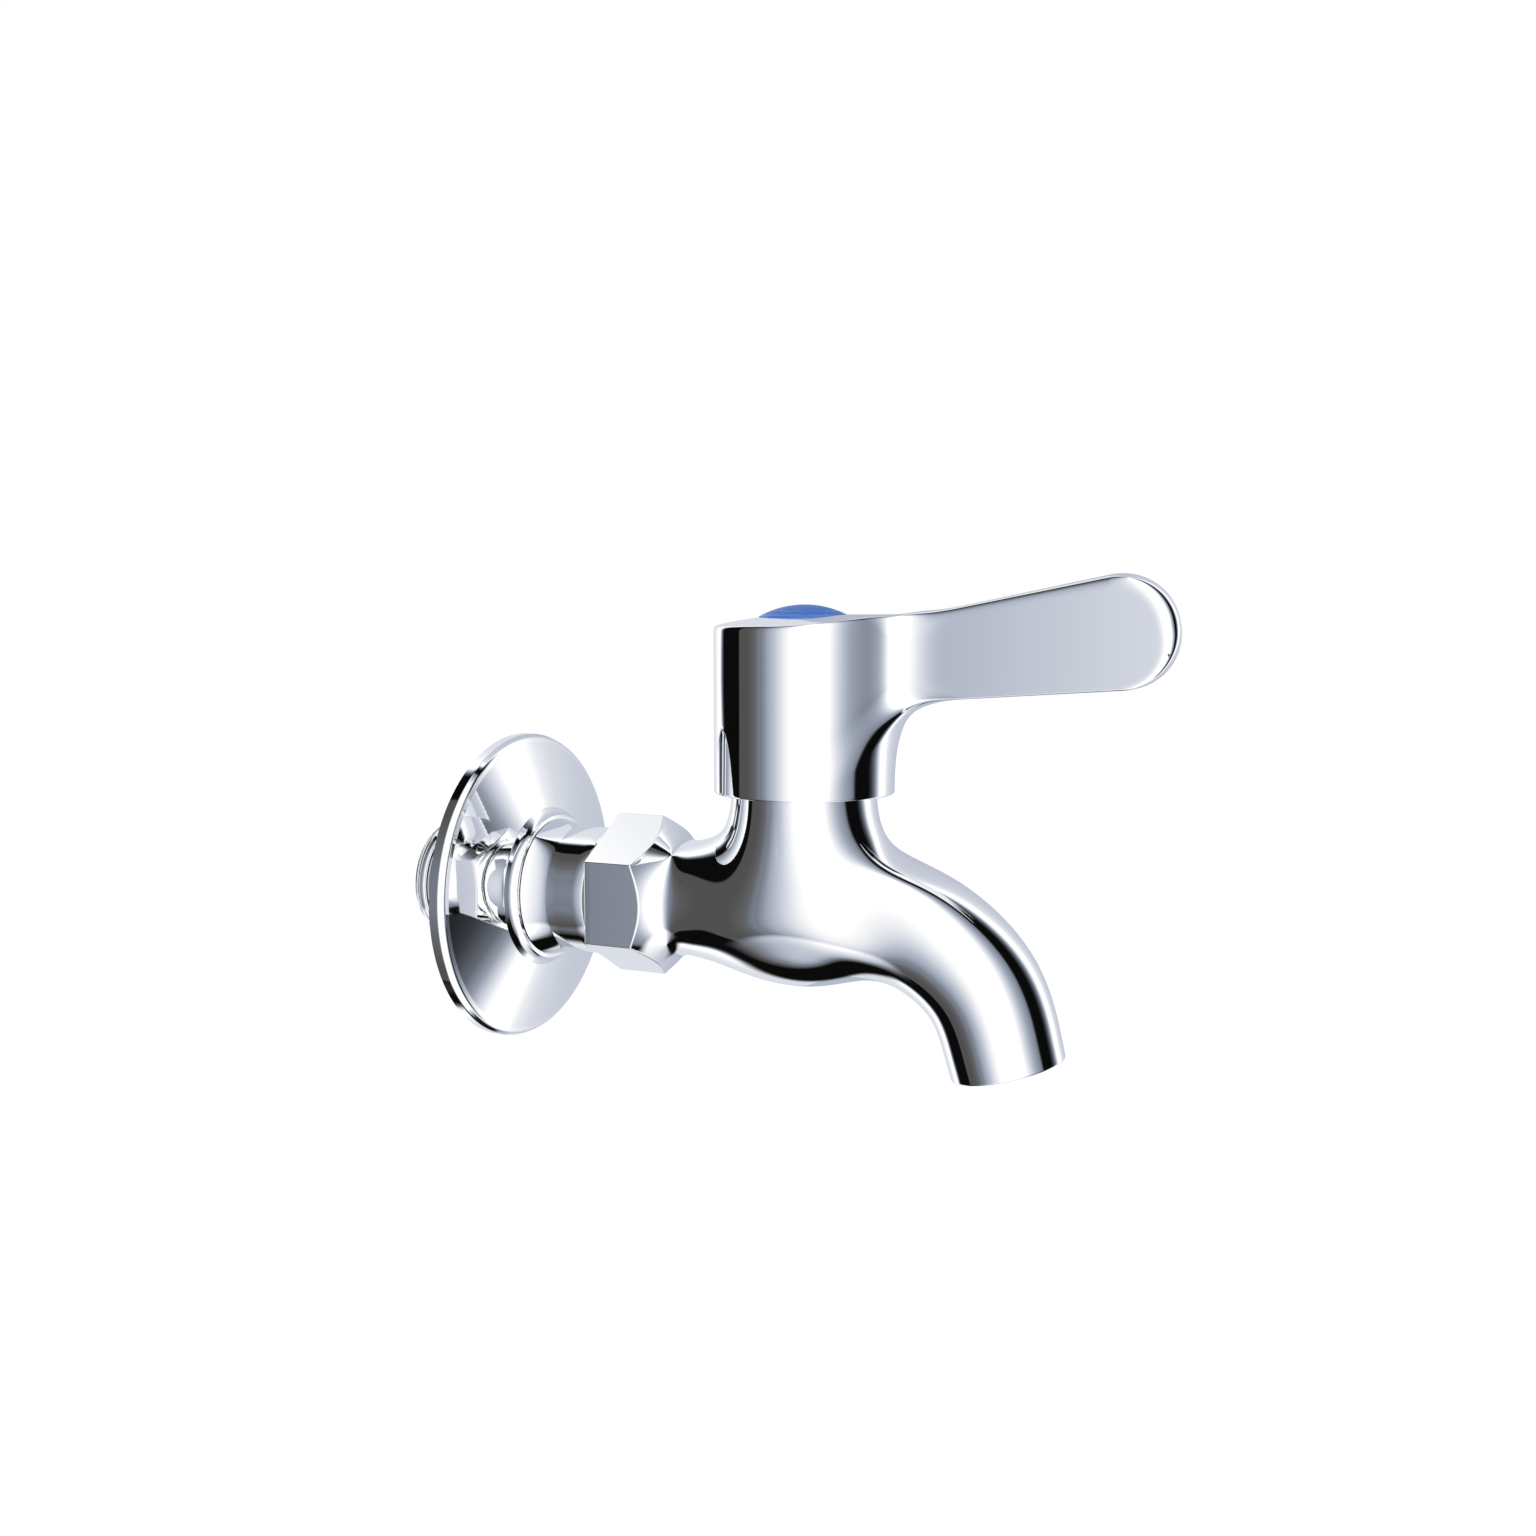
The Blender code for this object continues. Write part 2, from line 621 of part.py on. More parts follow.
def stream_straightener():
    """A short plastic insert with crossed vanes, a little way inside the outlet."""
    way = outlet_direction()
    place = outlet_centre() - way * (STRAIGHTENER_RECESS + STRAIGHTENER_LENGTH)
    turn = Vector((0, 0, 1)).rotation_difference(way)
    length = STRAIGHTENER_LENGTH
    insert = tube("stream_straightener", STRAIGHTENER_R, STRAIGHTENER_R - 0.0008, length, 0, ACETAL)
    vanes = []
    for i in range(3):
        bm = bmesh.new()
        bmesh.ops.create_cube(bm, size=1)
        size = Matrix.Diagonal((2 * STRAIGHTENER_R - 0.0008, 0.0006, length - 0.001, 1))
        place_vane = Matrix.Rotation(math.pi * i / 3, 4, "Z") @ Matrix.Translation((0, 0, length / 2))
        bmesh.ops.transform(bm, matrix=place_vane @ size, verts=bm.verts)
        vanes.append(new_object(f"vane_{i}", mesh_from(bm, f"vane_{i}")))
    for piece in [insert, *vanes]:
        piece.rotation_mode = "QUATERNION"
        piece.rotation_quaternion = turn
        piece.location = place
    for vane in vanes:
        combine(insert, vane, "UNION")
    settle(insert)


def cartridge_housing():
    """The brass body of the ceramic cartridge, with two side windows and a hexagon flange on the neck."""
    profile = [
        (GLAND_BORE_R, CARTRIDGE_TOP_Z),
        (GLAND_R - 0.0004, CARTRIDGE_TOP_Z),
        (GLAND_R, CARTRIDGE_TOP_Z - 0.0004),
        (GLAND_R, FLANGE_HEX_Z + 0.001),
        (CARTRIDGE_R + GAP / 2, FLANGE_HEX_Z + 0.001),
        (CARTRIDGE_R + GAP / 2, CARTRIDGE_STEP_Z + 0.001),
        (CARTRIDGE_R, CARTRIDGE_STEP_Z),
        (CARTRIDGE_R, CARTRIDGE_BOTTOM_Z),
        (CARTRIDGE_BORE_R, CARTRIDGE_BOTTOM_Z),
        (CARTRIDGE_BORE_R, CARTRIDGE_STEP_Z),
        (GLAND_BORE_R, CARTRIDGE_STEP_Z),
    ]
    housing = put_on_valve_axis(turned("cartridge_housing", profile, BRASS, closed=True))
    corners = polygon(6, FLANGE_HEX_R, math.pi / 6)
    spanner = prism("housing_hexagon", corners, FLANGE_HEX_Z + FLANGE_HEX_HEIGHT, FLANGE_HEX_Z)
    hole = rod("housing_hexagon_hole", GLAND_BORE_R + 0.0005, 0.04, 0.02)
    combine(spanner, hole)
    combine(housing, put_on_valve_axis(spanner), "UNION")
    put_on_valve_axis(hole)
    bm = bmesh.new()
    bmesh.ops.create_cube(bm, size=1)
    window_height = 2 * DISC_THICKNESS - 0.0008
    middle = FIXED_DISC_Z + DISC_THICKNESS + GAP / 2 + 0.0008
    place = Matrix.Translation((0, 0, middle)) @ Matrix.Diagonal((0.024, 0.0075, window_height, 1))
    bmesh.ops.transform(bm, matrix=place, verts=bm.verts)
    combine(housing, put_on_valve_axis(new_object("housing_windows", mesh_from(bm, "housing_windows"))))
    settle(housing)


def housing_gasket():
    low, high = NECK_TOP_Z + GAP / 2, FLANGE_HEX_Z - GAP
    gasket = tube("housing_gasket", 0.0108, CARTRIDGE_R + 0.0006, high, low, RUBBER)
    put_on_valve_axis(gasket)


def seat_seal():
    seal = tube("seat_seal", SEAT_SEAL_R, SEAT_SEAL_BORE_R, CARTRIDGE_BOTTOM_Z - GAP, SEAT_Z + GAP, RUBBER)
    put_on_valve_axis(seal)


def ceramic_disc(name, bottom, quarter_turn):
    """A polished disc with two opposite sector ports."""
    disc = rod(name, DISC_R, bottom + DISC_THICKNESS, bottom, CERAMIC)
    ports = []
    for side in (0, 1):
        middle = quarter_turn + math.pi * side
        outer = arc((0, 0), DISC_R - 0.0014, middle - 0.62, middle + 0.62, 9)
        inner = arc((0, 0), 0.0016, middle + 0.62, middle - 0.62, 4)
        ports.append(prism(f"{name}_port_{side}", outer + inner, bottom + 0.005, bottom - 0.002))
    for port in ports:
        combine(disc, put_on_valve_axis(port))
    settle(put_on_valve_axis(disc))


def spindle():
    foot_z = FIXED_DISC_Z + 2 * (DISC_THICKNESS + GAP)
    profile = [(0, SPLINE_BOTTOM_Z + 0.0004), (SPLINE_R - SPLINE_DEPTH, SPLINE_BOTTOM_Z + 0.0004)]
    profile += [(SPLINE_R - SPLINE_DEPTH, SPLINE_BOTTOM_Z), (SPINDLE_R, SPLINE_BOTTOM_Z - 0.0003)]
    grooves = ((CLIP_Z, CLIP_GROOVE), (UPPER_RING_Z, GROOVE_HEIGHT), (LOWER_RING_Z, GROOVE_HEIGHT))
    for height, groove in grooves:
        top, bottom = height + groove / 2, height - groove / 2
        profile += [(SPINDLE_R, top), (GROOVE_R, top), (GROOVE_R, bottom), (SPINDLE_R, bottom)]
    profile += [(SPINDLE_R, foot_z + SPINDLE_FOOT_HEIGHT), (SPINDLE_FOOT_R, foot_z + SPINDLE_FOOT_HEIGHT)]
    profile += [(SPINDLE_FOOT_R, foot_z), (0, foot_z)]
    shaft = put_on_valve_axis(turned("spindle", profile, BRASS))
    outline = spline_outline(SPLINE_R, SPLINE_R - SPLINE_DEPTH, SPLINE_TEETH)
    teeth = prism("spindle_spline", outline, SPINDLE_TOP_Z, SPLINE_BOTTOM_Z + 0.0002)
    combine(shaft, put_on_valve_axis(teeth), "UNION")
    high, low = SPINDLE_TOP_Z + 0.001, SCREW_TIP_Z - 0.0008
    hole = rod("spindle_screw_hole", SCREW_R + GAP, high, low, steps=SMALL_ROUND)
    combine(shaft, put_on_valve_axis(hole))
    settle(shaft)


def spindle_o_ring(name, height):
    centre = GROOVE_R + GAP + RING_SECTION_R
    put_on_valve_axis(o_ring(name, centre, RING_SECTION_R, height, RUBBER))


def spindle_circlip():
    """An open steel ring that holds the spindle up against the housing."""
    half = CLIP_THICKNESS / 2
    clip = tube("spindle_circlip", CLIP_R, GROOVE_R + GAP, CLIP_Z + half, CLIP_Z - half, STEEL)
    bm = bmesh.new()
    bmesh.ops.create_cube(bm, size=1)
    place = Matrix.Translation((-0.005, 0, CLIP_Z)) @ Matrix.Diagonal((0.010, 0.0036, 0.004, 1))
    bmesh.ops.transform(bm, matrix=place, verts=bm.verts)
    combine(put_on_valve_axis(clip), put_on_valve_axis(new_object("circlip_gap", mesh_from(bm, "circlip_gap"))))
    settle(clip)


def thrust_washer():
    foot_top = FIXED_DISC_Z + 2 * (DISC_THICKNESS + GAP) + SPINDLE_FOOT_HEIGHT
    washer = tube("thrust_washer", 0.0070, SPINDLE_R + GAP, CARTRIDGE_STEP_Z - GAP, foot_top + GAP, ACETAL)
    put_on_valve_axis(washer)


def handle_form():
    """The side walls of the handle, with the hub left long above and below."""
    run = Vector(PADDLE_TIP) - Vector(PADDLE_ROOT)
    lean = math.atan2(run.y, run.x)
    half_turn = math.pi / 2
    outline = arc(PADDLE_TIP, PADDLE_TIP_R, lean + half_turn, lean - half_turn, 16)
    outline += arc(PADDLE_ROOT, PADDLE_ROOT_R, lean - half_turn, lean - 3 * half_turn, 8)
    half = PADDLE_THICKNESS / 2
    stand_up = Matrix.Rotation(math.pi / 2, 4, "X")
    bm = bmesh.new()
    side = bm.faces.new([bm.verts.new((x, z, -half)) for x, z in outline])
    grown = bmesh.ops.extrude_face_region(bm, geom=[side])["geom"]
    moved = [item for item in grown if isinstance(item, bmesh.types.BMVert)]
    bmesh.ops.translate(bm, vec=(0, 0, 2 * half), verts=moved)
    bmesh.ops.transform(bm, matrix=stand_up, verts=bm.verts)
    hub = Matrix.Translation((VALVE_X, 0, (HUB_BOTTOM_Z + CROWN_TOP_Z) / 2))
    size = {"segments": ROUND, "radius1": HUB_R, "radius2": HUB_R, "depth": 0.040}
    bmesh.ops.create_cone(bm, cap_ends=True, matrix=hub, **size)
    form = fused(new_object("lever_handle", mesh_from(bm, "lever_handle"), CHROME), HANDLE_CELL)
    press_onto(form.data, handle_distance, 0.0040)
    return form


def crown_height(x, y):
    """The top of the handle: a shallow dome over the hub that becomes a ridge along the paddle."""
    ridge = CROWN_TOP_Z - CROWN_FALL * min(x, 0) ** 2
    rise = CROWN_TOP_Z + PADDLE_TOP_SLOPE * (x - 0.0165)
    return max(ridge, rise) - CROWN_FALL * y**2


def crown_cutter():
    """Everything above the crown, as a sheet of cells lifted to its height and made thick upwards."""
    bm = bmesh.new()
    size = {"x_segments": 30, "y_segments": 16, "size": 0.5}
    bmesh.ops.create_grid(bm, matrix=Matrix.Diagonal((0.078, 0.040, 1, 1)), **size)
    for vert in bm.verts:
        vert.co.x += 0.021
        vert.co.z = crown_height(vert.co.x, vert.co.y)
    grown = bmesh.ops.extrude_face_region(bm, geom=list(bm.faces))["geom"]
    for item in grown:
        if isinstance(item, bmesh.types.BMVert):
            item.co.z = 0.070
    return put_on_valve_axis(new_object("above_crown", mesh_from(bm, "above_crown")))


def lever_handle():
    """Hub and paddle in one casting, open below and recessed above for the screw and its button."""
    handle = handle_form()
    combine(handle, crown_cutter())
    combine(handle, end_cutter("hub_end", (VALVE_X, 0, HUB_BOTTOM_Z), (0, 0, -1)))
    cup = [(0, HUB_BOSS_Z), (HUB_BOSS_R, HUB_BOSS_Z), (HUB_BOSS_R, SKIRT_ROOF_Z), (SKIRT_BORE_R, SKIRT_ROOF_Z)]
    cup += [(SKIRT_BORE_R, HUB_BOTTOM_Z - 0.002), (0, HUB_BOTTOM_Z - 0.002)]
    combine(handle, put_on_valve_axis(turned("hub_cup", cup)))
    socket = prism("bush_socket", polygon(6, BUSH_HEX_R + 0.0004), SOCKET_ROOF_Z, HUB_BOSS_Z - 0.001)
    combine(handle, put_on_valve_axis(socket))
    recess = rod("button_recess", RECESS_R, RECESS_RIM_Z + 0.002, RECESS_Z)
    combine(handle, put_on_valve_axis(recess))
    hole = rod("screw_hole", SCREW_R + 0.0004, RECESS_Z + 0.001, SOCKET_ROOF_Z - 0.001, steps=SMALL_ROUND)
    combine(handle, put_on_valve_axis(hole))
    settle(handle)


def spline_bush():
    bush = prism("spline_bush", polygon(6, BUSH_HEX_R), SOCKET_ROOF_Z - GAP, HUB_BOSS_Z + GAP, ACETAL)
    outline = spline_outline(SPLINE_R + GAP, SPLINE_R - SPLINE_DEPTH + GAP, SPLINE_TEETH)
    combine(put_on_valve_axis(bush), put_on_valve_axis(prism("bush_spline", outline, 0.05, 0.02)))
    settle(bush)


def handle_screw():
    head_z = RECESS_Z + WASHER_THICKNESS + 2 * GAP
    top = head_z + SCREW_HEAD_HEIGHT
    profile = [(0, top), (SCREW_HEAD_R - 0.0006, top), (SCREW_HEAD_R, top - 0.0007), (SCREW_HEAD_R, head_z)]
    profile += [(SCREW_R, head_z), (SCREW_R, SCREW_TIP_Z + 0.0006)]
    profile += [(SCREW_R - 0.0006, SCREW_TIP_Z), (0, SCREW_TIP_Z)]
    screw = put_on_valve_axis(turned("handle_screw", profile, STEEL, steps=SMALL_ROUND))
    drive = prism("screw_drive", polygon(6, 0.0017), top + 0.001, top - 0.0014)
    combine(screw, put_on_valve_axis(drive))
    settle(screw)


def screw_washer():
    bottom = RECESS_Z + GAP
    put_on_valve_axis(tube("screw_washer", WASHER_R, SCREW_R + GAP, bottom + WASHER_THICKNESS, bottom, STEEL))


def index_button():
    """A domed blue cap, hollow underneath, pressed into the recess over the screw."""
    rim_z = RECESS_RIM_Z
    rise = BUTTON_TOP_Z - rim_z
    sphere_r = (BUTTON_R**2 + rise**2) / (2 * rise)
    half = math.asin(BUTTON_R / sphere_r)
    dome = arc((0, BUTTON_TOP_Z - sphere_r), sphere_r, math.pi / 2, math.pi / 2 - half, 9)
    skirt = [(BUTTON_R, RECESS_Z + 0.0016), (BUTTON_R - 0.0010, RECESS_Z + 0.0016), (BUTTON_R - 0.0010, rim_z)]
    under = [(BUTTON_R - 0.0030, rim_z + 0.0006), (0, rim_z + 0.0007)]
    settle(put_on_valve_axis(turned("index_button", [(0, dome[0][1])] + dome[1:] + skirt + under, BLUE)))


tap_body()
inlet_shank()
shank_seal()
wall_flange()
flange_grip_ring()
stream_straightener()
cartridge_housing()
housing_gasket()
seat_seal()
ceramic_disc("fixed_ceramic_disc", FIXED_DISC_Z, 0.0)
ceramic_disc("moving_ceramic_disc", FIXED_DISC_Z + DISC_THICKNESS + GAP, math.pi / 2)
spindle()
spindle_o_ring("spindle_o_ring_lower", LOWER_RING_Z)
spindle_o_ring("spindle_o_ring_upper", UPPER_RING_Z)
spindle_circlip()
thrust_washer()
lever_handle()
spline_bush()
handle_screw()
screw_washer()
index_button()
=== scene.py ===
"""Looks of a wall-mounted hose bib: fine surfaces, finishes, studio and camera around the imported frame."""

import json
import math

import bmesh
import bpy
import numpy as np
from mathutils import Matrix, Vector


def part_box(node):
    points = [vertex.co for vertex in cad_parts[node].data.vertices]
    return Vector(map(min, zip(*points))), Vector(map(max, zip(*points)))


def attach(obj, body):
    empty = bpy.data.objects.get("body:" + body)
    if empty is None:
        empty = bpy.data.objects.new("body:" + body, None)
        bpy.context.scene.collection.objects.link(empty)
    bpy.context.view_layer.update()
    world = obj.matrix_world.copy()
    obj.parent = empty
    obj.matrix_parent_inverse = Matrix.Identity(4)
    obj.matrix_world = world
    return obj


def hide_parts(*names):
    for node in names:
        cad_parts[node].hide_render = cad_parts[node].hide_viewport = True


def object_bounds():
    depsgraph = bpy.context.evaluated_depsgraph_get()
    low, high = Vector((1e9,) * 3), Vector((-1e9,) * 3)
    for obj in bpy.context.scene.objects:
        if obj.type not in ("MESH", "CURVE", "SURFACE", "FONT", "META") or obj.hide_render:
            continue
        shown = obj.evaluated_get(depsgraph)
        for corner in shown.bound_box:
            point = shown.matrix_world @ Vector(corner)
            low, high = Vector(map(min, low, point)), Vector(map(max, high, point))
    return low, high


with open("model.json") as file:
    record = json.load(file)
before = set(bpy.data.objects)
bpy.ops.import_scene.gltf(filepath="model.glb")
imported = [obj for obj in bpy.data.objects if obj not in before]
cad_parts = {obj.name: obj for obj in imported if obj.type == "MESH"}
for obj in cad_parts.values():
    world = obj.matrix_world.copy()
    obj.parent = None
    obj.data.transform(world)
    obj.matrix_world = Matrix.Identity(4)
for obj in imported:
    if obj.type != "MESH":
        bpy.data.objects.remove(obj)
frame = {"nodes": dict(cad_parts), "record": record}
CAD_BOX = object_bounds()

# Places read from the frame.
BUTTON_LOW, BUTTON_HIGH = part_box("index_button")
HANDLE_LOW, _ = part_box("lever_handle")
_, FLANGE_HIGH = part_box("wall_flange")
SHANK_LOW, SHANK_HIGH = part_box("inlet_shank")
_, BODY_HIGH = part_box("tap_body")
VALVE_X = (BUTTON_LOW.x + BUTTON_HIGH.x) / 2

# Cast body, as in the frame: centre line (x, z) and radius of its round section.
CAST_LINE = [
    (0.0300, 0.0000, 0.0087),
    (0.0400, 0.0000, 0.0099),
    (0.0470, -0.0013, 0.0107),
    (0.0540, -0.0026, 0.0104),
    (0.0610, -0.0006, 0.0099),
    (0.0680, -0.0004, 0.0097),
    (0.0750, -0.0030, 0.0093),
    (0.0830, -0.0097, 0.0090),
    (0.0855, -0.0190, 0.0087),
    (0.0863, -0.0220, 0.0082),
]
OUTLET_TILT = math.radians(15)
CAST_BLEND = 0.0135
NECK_R = 0.0113
NECK_FOOT_BLEND = 0.0060
HEX_BACK_X = 0.0196
HEX_FRONT_X = 0.02794
HEX_HALF_FLATS = 0.0115
HEX_CORNER_R = 2 * HEX_HALF_FLATS / math.sqrt(3)
HEX_EDGE = 0.0002
COVE_LENGTH = 0.0078
COVE_POWER = 2.2
COVE_BLEND = 0.0012
THROAT_R = 0.0087
BOSS_R = 0.0110
BOSS_LENGTH = 0.0007
HEX_JOIN_X = 0.0365
SPOUT_JOIN = 0.0060
CAST_CELL = 0.00038

# Handle, as in the frame.
HUB_R = 0.01413
HUB_JOIN_Z = 0.0215
PADDLE_THICKNESS = 0.0054
PADDLE_ROOT = (0.0594, 0.0376)
PADDLE_ROOT_R = 0.0056
PADDLE_TIP = (0.1017, 0.0434)
PADDLE_TIP_R = 0.0083
PADDLE_BOTTOM_EDGE = 0.0010
PADDLE_ARCH_EDGE = 0.0090
PADDLE_ARCH_LENGTH = 0.0200
PADDLE_TOP_EDGE = 0.0030
PADDLE_END_EDGE = 0.0045
PADDLE_TOP_SLOPE = 0.22
SIDE_BLEND = 0.0100
ARCH_BLEND = 0.0150
CROWN_TOP_Z = 0.04595
CROWN_FALL = 8.8
CROWN_EDGE = 0.0011
HANDLE_CELL = 0.00038

# Bores and seats that show at the open ends.
SOCKET_R = 0.0083
SOCKET_END_X = 0.0288
WATERWAY_R = 0.0065
CHAMBER_R = 0.0086
SEAT_Z = 0.0042
PORT_R = 0.0050
LOWER_CHAMBER_Z = -0.0045
CHAMBER_BORE_R = 0.0058
OUTLET_BORE_R = 0.0064
SKIRT_BORE_R = 0.0125
SKIRT_ROOF_Z = 0.0385
HUB_BOSS_R = 0.0085
HUB_BOSS_Z = 0.0328
SOCKET_ROOF_Z = 0.0407
BUSH_SOCKET_R = 0.0066
RECESS_R = 0.0075
RECESS_Z = 0.0420
SCREW_HOLE_R = 0.00215

# Inlet shank: G 1/2 thread, barrel and flared shoulder.
THREAD_MAJOR_R = 0.0104775
THREAD_MINOR_R = 0.0093155
THREAD_PITCH = 0.001814
THREAD_END_X = -0.0012
BARREL_R = 0.0105
BARREL_END_X = 0.0186
SPIGOT_R = 0.0080
SHOULDER_X = 0.0080
SHOULDER_R = 0.0116
SHOULDER_LENGTH = 0.0042
SHOULDER_POWER = 1.4

# Flange.
FLANGE_R = FLANGE_HIGH.y
FLANGE_LIP_X = 0.0028
FLANGE_LIP_R = 0.0244
FLANGE_SLOPE = math.radians(14.5)
COLLAR_FOOT_R = 0.0134
COLLAR_R = 0.0119
COLLAR_BORE_R = 0.0109
COLLAR_END_X = FLANGE_HIGH.x
GRIP_SEAT_R = 0.0127

BUTTON_R = BUTTON_HIGH.x - VALVE_X
BUTTON_TOP_Z = BUTTON_HIGH.z

FINE_ROUND = 256
FLOOR_DROP = 0.08
EVEN = (1, 1, 1)
TURNED = (0.1, 0.1, 1)
EDGE_ROUND = 0.0003
EDGE_TURN = math.cos(math.radians(11))


def blend(first, second, width):
    """The nearer of two distances, with the hollow corner between their surfaces filled."""
    overlap = np.maximum(width - np.abs(first - second), 0) / width
    return np.minimum(first, second) - overlap**3 * width / 6


def trim(first, second, width):
    """The farther of two distances, with the corner between their surfaces rounded."""
    return -blend(-first, -second, width)


def eased(part):
    """From 0 to 1 with an easy start and end."""
    part = np.clip(part, 0, 1)
    return part**2 * (3 - 2 * part)


def carried_on(points, extra=4):
    """Control points of a B-spline, carried on in a straight line at both ends."""
    points = np.array(points, float)
    before = [points[0] - (points[1] - points[0]) * i for i in range(extra, 0, -1)]
    after = [points[-1] + (points[-1] - points[-2]) * i for i in range(1, extra + 1)]
    return np.vstack([before, points, after])


def spline(rows, place, order=0):
    """Points of a uniform cubic B-spline, or their first or second derivatives."""
    start = np.clip(np.floor(place).astype(int), 0, len(rows) - 4)
    t = place - start
    weights = (
        ((1 - t) ** 3, 3 * t**3 - 6 * t**2 + 4, -3 * t**3 + 3 * t**2 + 3 * t + 1, t**3),
        (-3 * (1 - t) ** 2, 9 * t**2 - 12 * t, -9 * t**2 + 6 * t + 3, 3 * t**2),
        (6 * (1 - t), 18 * t - 12, -18 * t + 6, 6 * t),
    )[order]
    return sum(w[:, None] * rows[start + i] for i, w in enumerate(weights)) / 6


def nearest_place(rows, flat):
    """Where on a flat B-spline each (x, z) point has its nearest point."""
    last = len(rows) - 3
    tries = np.linspace(0, last, 8 * last + 1)
    coarse = spline(rows[:, :2], tries)
    place = tries[((flat[:, None] - coarse) ** 2).sum(2).argmin(1)]
    for _ in range(4):
        gap = spline(rows[:, :2], place) - flat
        along = spline(rows[:, :2], place, 1)
        bend = spline(rows[:, :2], place, 2)
        speed = (along**2).sum(1)
        slope = np.maximum(speed + (gap * bend).sum(1), 0.1 * speed)
        place = np.clip(place - (gap * along).sum(1) / slope, 0, last)
    return place


CAST_ROWS = carried_on(CAST_LINE)


def cast_distance(points):
    """How far points are outside the casting: a round section along a line, joined to the valve neck."""
    x, y, z = points.T
    place = nearest_place(CAST_ROWS, points[:, [0, 2]])
    line = spline(CAST_ROWS, place)
    part = np.clip((HEX_FRONT_X + COVE_LENGTH - x) / COVE_LENGTH, 0, 1.4)
    cove = THROAT_R + (HEX_CORNER_R - THROAT_R) * part**COVE_POWER
    radius = trim(line[:, 2], cove, COVE_BLEND)
    arm = np.hypot(np.hypot(x - line[:, 0], z - line[:, 1]), y) - radius
    neck = np.hypot(x - VALVE_X, y) - NECK_R
    return blend(arm, trim(neck, -z, NECK_FOOT_BLEND), CAST_BLEND)


def hexagon_distance(points):
    """The casting with the flats of the spanner hexagon cut on it."""
    flats = None
    for i in range(6):
        angle = math.pi * i / 3
        flat = points[:, 1] * math.cos(angle) + points[:, 2] * math.sin(angle) - HEX_HALF_FLATS
        flats = flat if flats is None else trim(flats, flat, HEX_EDGE)
    return trim(cast_distance(points), flats, HEX_EDGE)


def crown_height(ahead, y):
    """The top of the handle: a shallow dome over the hub that becomes a ridge along the paddle."""
    ridge = CROWN_TOP_Z - CROWN_FALL * np.minimum(ahead, 0) ** 2
    rise = CROWN_TOP_Z + PADDLE_TOP_SLOPE * (ahead - 0.0165)
    return trim(ridge, rise, 0.0006) - CROWN_FALL * y**2


def handle_distance(points):
    """How far points are outside the handle: an endless hub, a flat round-ended paddle and the crown."""
    x, y, z = points.T
    hub = np.hypot(x - VALVE_X, y) - HUB_R
    root, tip = np.array(PADDLE_ROOT), np.array(PADDLE_TIP)
    length = np.linalg.norm(tip - root)
    along = (tip - root) / length
    offset = points[:, [0, 2]] - root
    upward = offset @ (-along[1], along[0])
    forward = offset @ along
    widening = (PADDLE_TIP_R - PADDLE_ROOT_R) / length
    forward = forward + np.abs(upward) * widening / math.sqrt(1 - widening**2)
    place = np.clip(forward, 0, length)
    centre = root + place[:, None] * along
    reach = PADDLE_ROOT_R + widening * place
    outline = np.linalg.norm(points[:, [0, 2]] - centre, axis=1) - reach
    top = np.clip(upward / reach, 0, 1) * place / length
    end = np.clip((forward - length) / PADDLE_TIP_R, 0, 1)
    arch = eased(1 - forward / PADDLE_ARCH_LENGTH)
    bottom = PADDLE_BOTTOM_EDGE + (PADDLE_ARCH_EDGE - PADDLE_BOTTOM_EDGE) * arch
    edge = bottom + (PADDLE_TOP_EDGE - bottom) * top
    side = np.abs(y) - PADDLE_THICKNESS / 2
    edge = edge + (PADDLE_END_EDGE - edge) * end * np.clip(1 + upward / reach, 0, 1)
    paddle = trim(outline, side, edge)
    width = SIDE_BLEND + (ARCH_BLEND - SIDE_BLEND) * eased((outline - side) / 0.008 + 0.5)
    walls = blend(hub, paddle, width)
    return trim(walls, z - crown_height(x - VALVE_X, y), CROWN_EDGE)


def slope_of(distance, points):
    """The distance's gradient, by central differences."""
    probe = 0.00002
    rises = [distance(points + probe * a) - distance(points - probe * a) for a in np.eye(3)]
    return np.stack(rises, 1) / (2 * probe)


def vectors_of(items, key, count=3):
    values = np.empty(len(items) * count, np.float32)
    items.foreach_get(key, values)
    return values.reshape(-1, count).astype(float)


def press_onto(mesh, distance, steps=4):
    """Moves a rough mesh's points onto the surface where the distance is zero."""
    points = vectors_of(mesh.vertices, "co")
    for _ in range(steps):
        slope = slope_of(distance, points)
        points -= slope * (distance(points) / np.maximum((slope**2).sum(1), 0.3))[:, None]
    mesh.vertices.foreach_set("co", points.astype(np.float32).ravel())
    mesh.update()


def evaluated_mesh(obj):
    graph = bpy.context.evaluated_depsgraph_get()
    return bpy.data.meshes.new_from_object(obj.evaluated_get(graph))


def with_modifier(mesh, kind, **values):
    """The mesh after one modifier."""
    holder = bpy.data.objects.new("holder", mesh)
    bpy.context.scene.collection.objects.link(holder)
    step = holder.modifiers.new("step", kind)
    for key, value in values.items():
        setattr(step, key, value)
    result = evaluated_mesh(holder)
    bpy.data.objects.remove(holder)
    return result


def mesh_of(bm, name):
    bmesh.ops.recalc_face_normals(bm, faces=bm.faces)
    mesh = bpy.data.meshes.new(name)
    bm.to_mesh(mesh)
    bm.free()
    return mesh


def skin(rough, distance, cell):
    """A fine skin of even cells on the distance's surface, from overlapping rough bodies."""
    for size in (3 * cell, cell):
        rough = with_modifier(rough, "REMESH", mode="VOXEL", voxel_size=size)
        press_onto(rough, distance)
    return refined(rough, distance)


